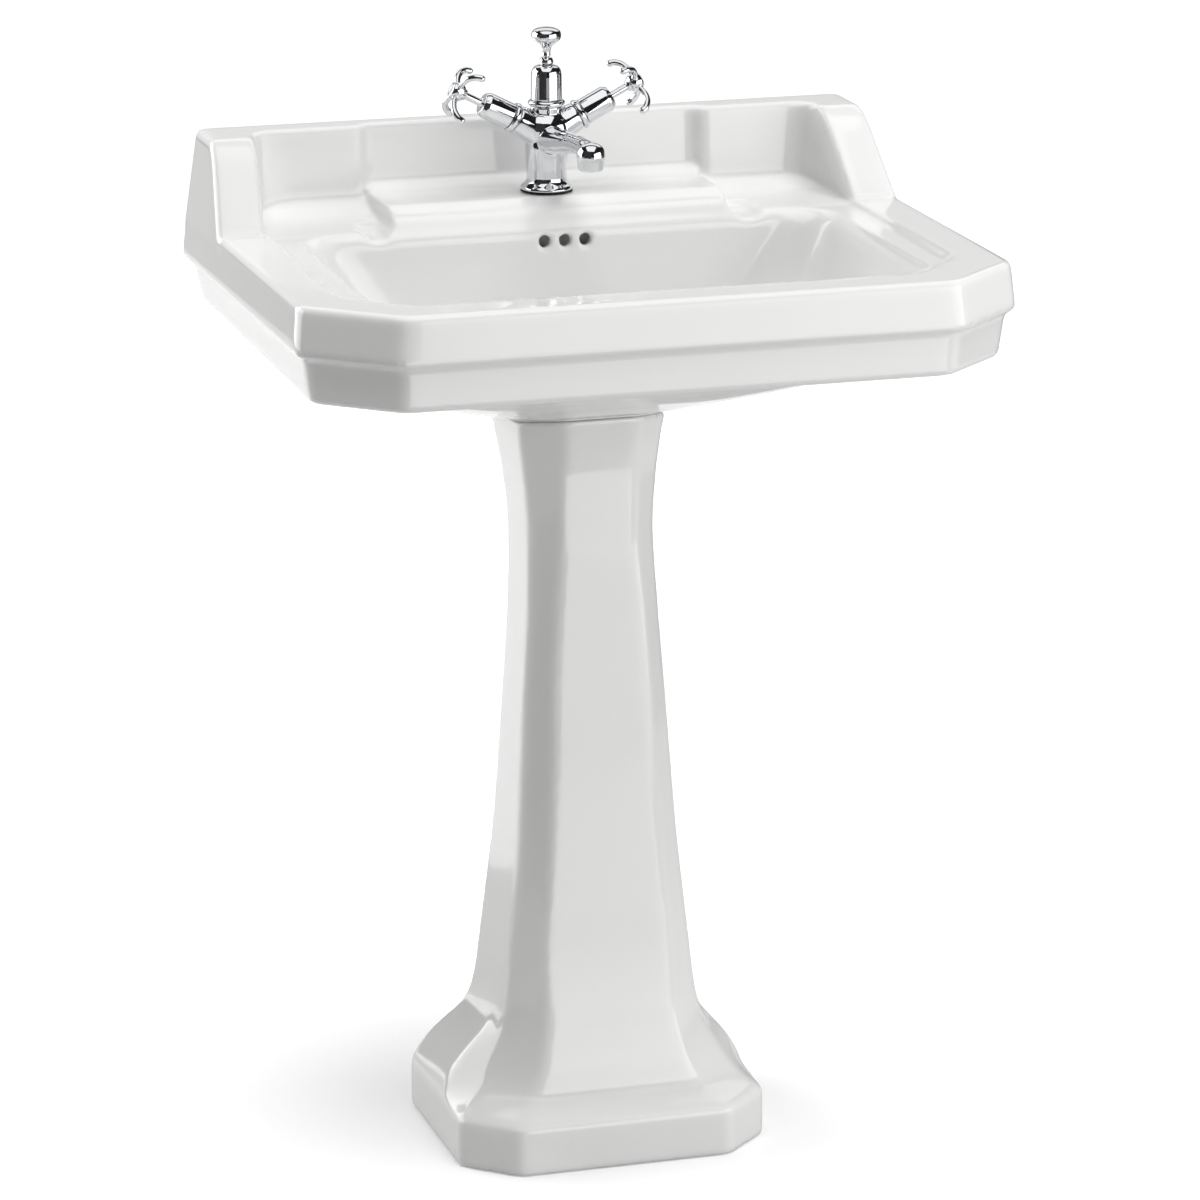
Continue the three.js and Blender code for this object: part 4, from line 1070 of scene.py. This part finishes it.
# ---- Pop-up linkage ----
def linkage():
    across = facing_y(0, PIVOT_Y, PIVOT_Z)
    cap = make("ball_cap_nut_look", turned(fillet([
        (9.4, -2.4), (12.6, -2.4), (12.6, 9.6), (11.6, 11), (4.4, 11), (4.4, 8.3), (9.4, 8.3), (9.4, -2.4)],
        0.5), 96))
    knurled(cap, 12.8, -1, 8.5, 16, 0.7)
    show(move_piece(cap, across), "chrome_plate", "ball_cap_nut")
    lathe("ball_seat", "white_nylon", across, [
        (3.8, -8.4), (5.7, -8.4), (5.7, -6), (3.8, -6), (3.8, -8.4)], 0.4)
    tilted = at(0, PIVOT_Y, PIVOT_Z) @ Matrix.Rotation(-math.pi / 2 - PIVOT_TILT, 4, "X")
    bend = np.linspace(-1.12, 1.12, 17)
    lathe("pivot_ball", "white_nylon", tilted, [
        (2.3, 5.4 * math.sin(bend[0])), *((5.4 * math.cos(a), 5.4 * math.sin(a)) for a in bend),
        (2.3, 5.4 * math.sin(bend[-1])), (2.3, 5.4 * math.sin(bend[0]))], 0.05, 64)
    lathe("pivot_rod", "steel", tilted, [
        (0, -FRONT_ARM - 7), (2, -FRONT_ARM - 7), (2, REAR_ARM + 9), (0, REAR_ARM + 9)], 0.6, 48)


# ---- Wall and floor fixings ----
def fixings():
    for place, side in (("left", -1), ("right", 1)):
        hanger = facing_y(side * WALL_FIXING_X, BACK_Y, WALL_FIXING_Z)
        show(placed(threaded(5, -30, 0, 1.5, 0.5), hanger), "steel", "wall_bolt_" + place)
        lathe("wall_washer_" + place, "white_nylon", hanger, [
            (5.4, -WALL - 3), (14, -WALL - 3), (14, -WALL - GAP), (5.4, -WALL - GAP), (5.4, -WALL - 3)], 0.8)
        nut = hex_nut("wall_nut_look_" + place, 5.3, 18.9, -WALL - 11.5, -WALL - 3.3)
        show(move_piece(nut, hanger), "steel", "wall_nut_" + place)
        screw = make("floor_screw_look_" + place, turned(fillet([
            (0, 0), (3.5, 0), (3.5, 16.3), (8, 16.3), (8, 18.6), (5, 20.8), (0, 21.2)], 0.5), 64))
        cut(screw, block((-9, 9), (-0.7, 0.7), (19.4, 22)))
        stand = at(side * FLOOR_FIXING_X, FLOOR_FIXING_Y, 0)
        show(move_piece(screw, stand), "steel", "floor_screw_" + place)


lift()
tap_fixings()
for water, arm_matrix in ARMS.items():
    tap_arm(water, arm_matrix)
    supply(water, -1 if water == "hot" else 1)
waste()
trap()
linkage()
fixings()


# ---- Stage ----
FLOOR_TONE = 0.96
FLOOR_GLOW = 0.15
BOUNCE_TONE = 0.42
ROOM_TONE = 0.03


def stage_material(name, tone, glow=0.0):
    material, tree, shader = principled(name, Roughness=0.9)
    shader.inputs["Emission Color"].default_value = (1, 1, 1, 1)
    shader.inputs["Emission Strength"].default_value = glow
    light, dark = (tone,) * 3, (0.98 * tone,) * 3
    tree.links.new(tint(tree, noise(tree, 2.0), dark, light), shader.inputs["Base Color"])
    return material


def add_floor():
    """A pale floor for the camera, and a greyer one under it that lights the sink and shows in it."""
    reach = (-30000, 30000)
    floor = make("floor", block(reach, reach, (-20, -0.5)))
    floor.data.materials.append(stage_material("floor", FLOOR_TONE, FLOOR_GLOW))
    floor.visible_diffuse = False
    floor.visible_glossy = False
    floor.visible_shadow = False
    bounce = make("floor_bounce", block(reach, reach, (-24, -22)))
    bounce.data.materials.append(stage_material("floor_bounce", BOUNCE_TONE))
    bounce.visible_camera = False
    bounce.visible_shadow = False


def facing(azimuth, elevation, distance):
    """A place round the sink that faces it. Azimuth 0 is straight in front of it, 90 to its right."""
    a, e = math.radians(azimuth), math.radians(elevation)
    towards = Vector((math.sin(a) * math.cos(e), -math.cos(a) * math.cos(e), math.sin(e)))
    turn = towards.to_track_quat("Z", "Y").to_matrix().to_4x4()
    return Matrix.Translation(Vector((0, 0, 0.7)) + towards * distance) @ turn


def on_floor(azimuth, distance):
    """A place just under the floor, that far from the sink."""
    return Matrix.Rotation(math.radians(azimuth), 4, "Z") @ at(0, -distance, -0.005)


def add_light(name, azimuth, elevation, distance, size, brightness, diffuse=True):
    """A soft box that the camera doesn't see. Without diffuse, only reflections show it."""
    data = bpy.data.lights.new(name, "AREA")
    data.shape = "RECTANGLE"
    data.size, data.size_y = size
    data.energy = brightness * math.pi * size[0] * size[1]
    light = bpy.data.objects.new(name, data)
    light.matrix_world = facing(azimuth, elevation, distance)
    light.visible_camera = False
    light.visible_diffuse = diffuse
    bpy.context.scene.collection.objects.link(light)


def add_sun(name, azimuth, elevation, strength, spread_degrees):
    """An even light from far above, with soft shadows and no reflection."""
    data = bpy.data.lights.new(name, "SUN")
    data.energy = strength
    data.angle = math.radians(spread_degrees)
    light = bpy.data.objects.new(name, data)
    light.matrix_world = facing(azimuth, elevation, 5)
    light.visible_glossy = False
    bpy.context.scene.collection.objects.link(light)


def board(name, shape, tone, matrix, diffuse=True, glossy=True, glow=0.0):
    """Something that shades, darkens or brightens the sink, out of the camera's sight."""
    flag = make(name, shape)
    flag.matrix_world = matrix
    flag.visible_camera = False
    flag.visible_shadow = False
    flag.visible_diffuse = diffuse
    flag.visible_glossy = glossy
    flag.data.materials.append(stage_material(name, tone, glow))


def sheet(width, height):
    x, y = width / 2 / MM, height / 2 / MM
    return prism([(-x, -y), (x, -y), (x, y), (-x, y)], -4, 0)


def add_room():
    """Dark walls and ceiling that only reflections see."""
    reach = (-9000, 9000)
    board("room", block(reach, reach, reach), ROOM_TONE, Matrix.Identity(4), diffuse=False)


def add_world(strength):
    world = bpy.data.worlds.new("studio")
    bpy.context.scene.world = world
    world.use_nodes = True
    background = world.node_tree.nodes["Background"]
    background.inputs["Color"].default_value = (1, 1, 1, 1)
    background.inputs["Strength"].default_value = strength


bpy.context.scene.view_settings.view_transform = "Standard"
add_floor()
add_world(0.25)
add_room()
# Azimuth, elevation, strength and spread in degrees.
add_sun("ceiling", 30, 80, 2.35, 45)
# Azimuth, elevation, distance, (width, height) and brightness.
add_light("key", 40, 2, 2.7, (3.2, 2.4), 2.1)
add_light("side", -126, 14, 2.7, (2.8, 2.2), 2.6)
add_light("overhead", -17, 76, 2.4, (2.4, 3.0), 1.15, diffuse=False)
add_light("backdrop", 163, 42, 2.6, (3.0, 1.4), 1.0, diffuse=False)
add_light("horizon", 178, 11, 3.0, (4.2, 1.1), 0.5, diffuse=False)
# Two dark flags, then three pale sheets that the glaze reflects: size, tone and place.
board("front_flag", sheet(2.0, 2.8), 0.03, facing(-46, 8, 1.75))
board("back_flag", sheet(2.6, 1.9), 0.03, facing(117, -8, 2.0), diffuse=False)
board("rear_floor", sheet(2.6, 3.3), 0.9, on_floor(-163, 2.65), diffuse=False)
board("side_floor", sheet(0.6, 0.9), 0.9, on_floor(-110, 0.45), diffuse=False)
board("front_floor", sheet(1.4, 1.9), 0.9, on_floor(17, 1.95), diffuse=False, glow=1.1)

bpy.context.view_layer.update()
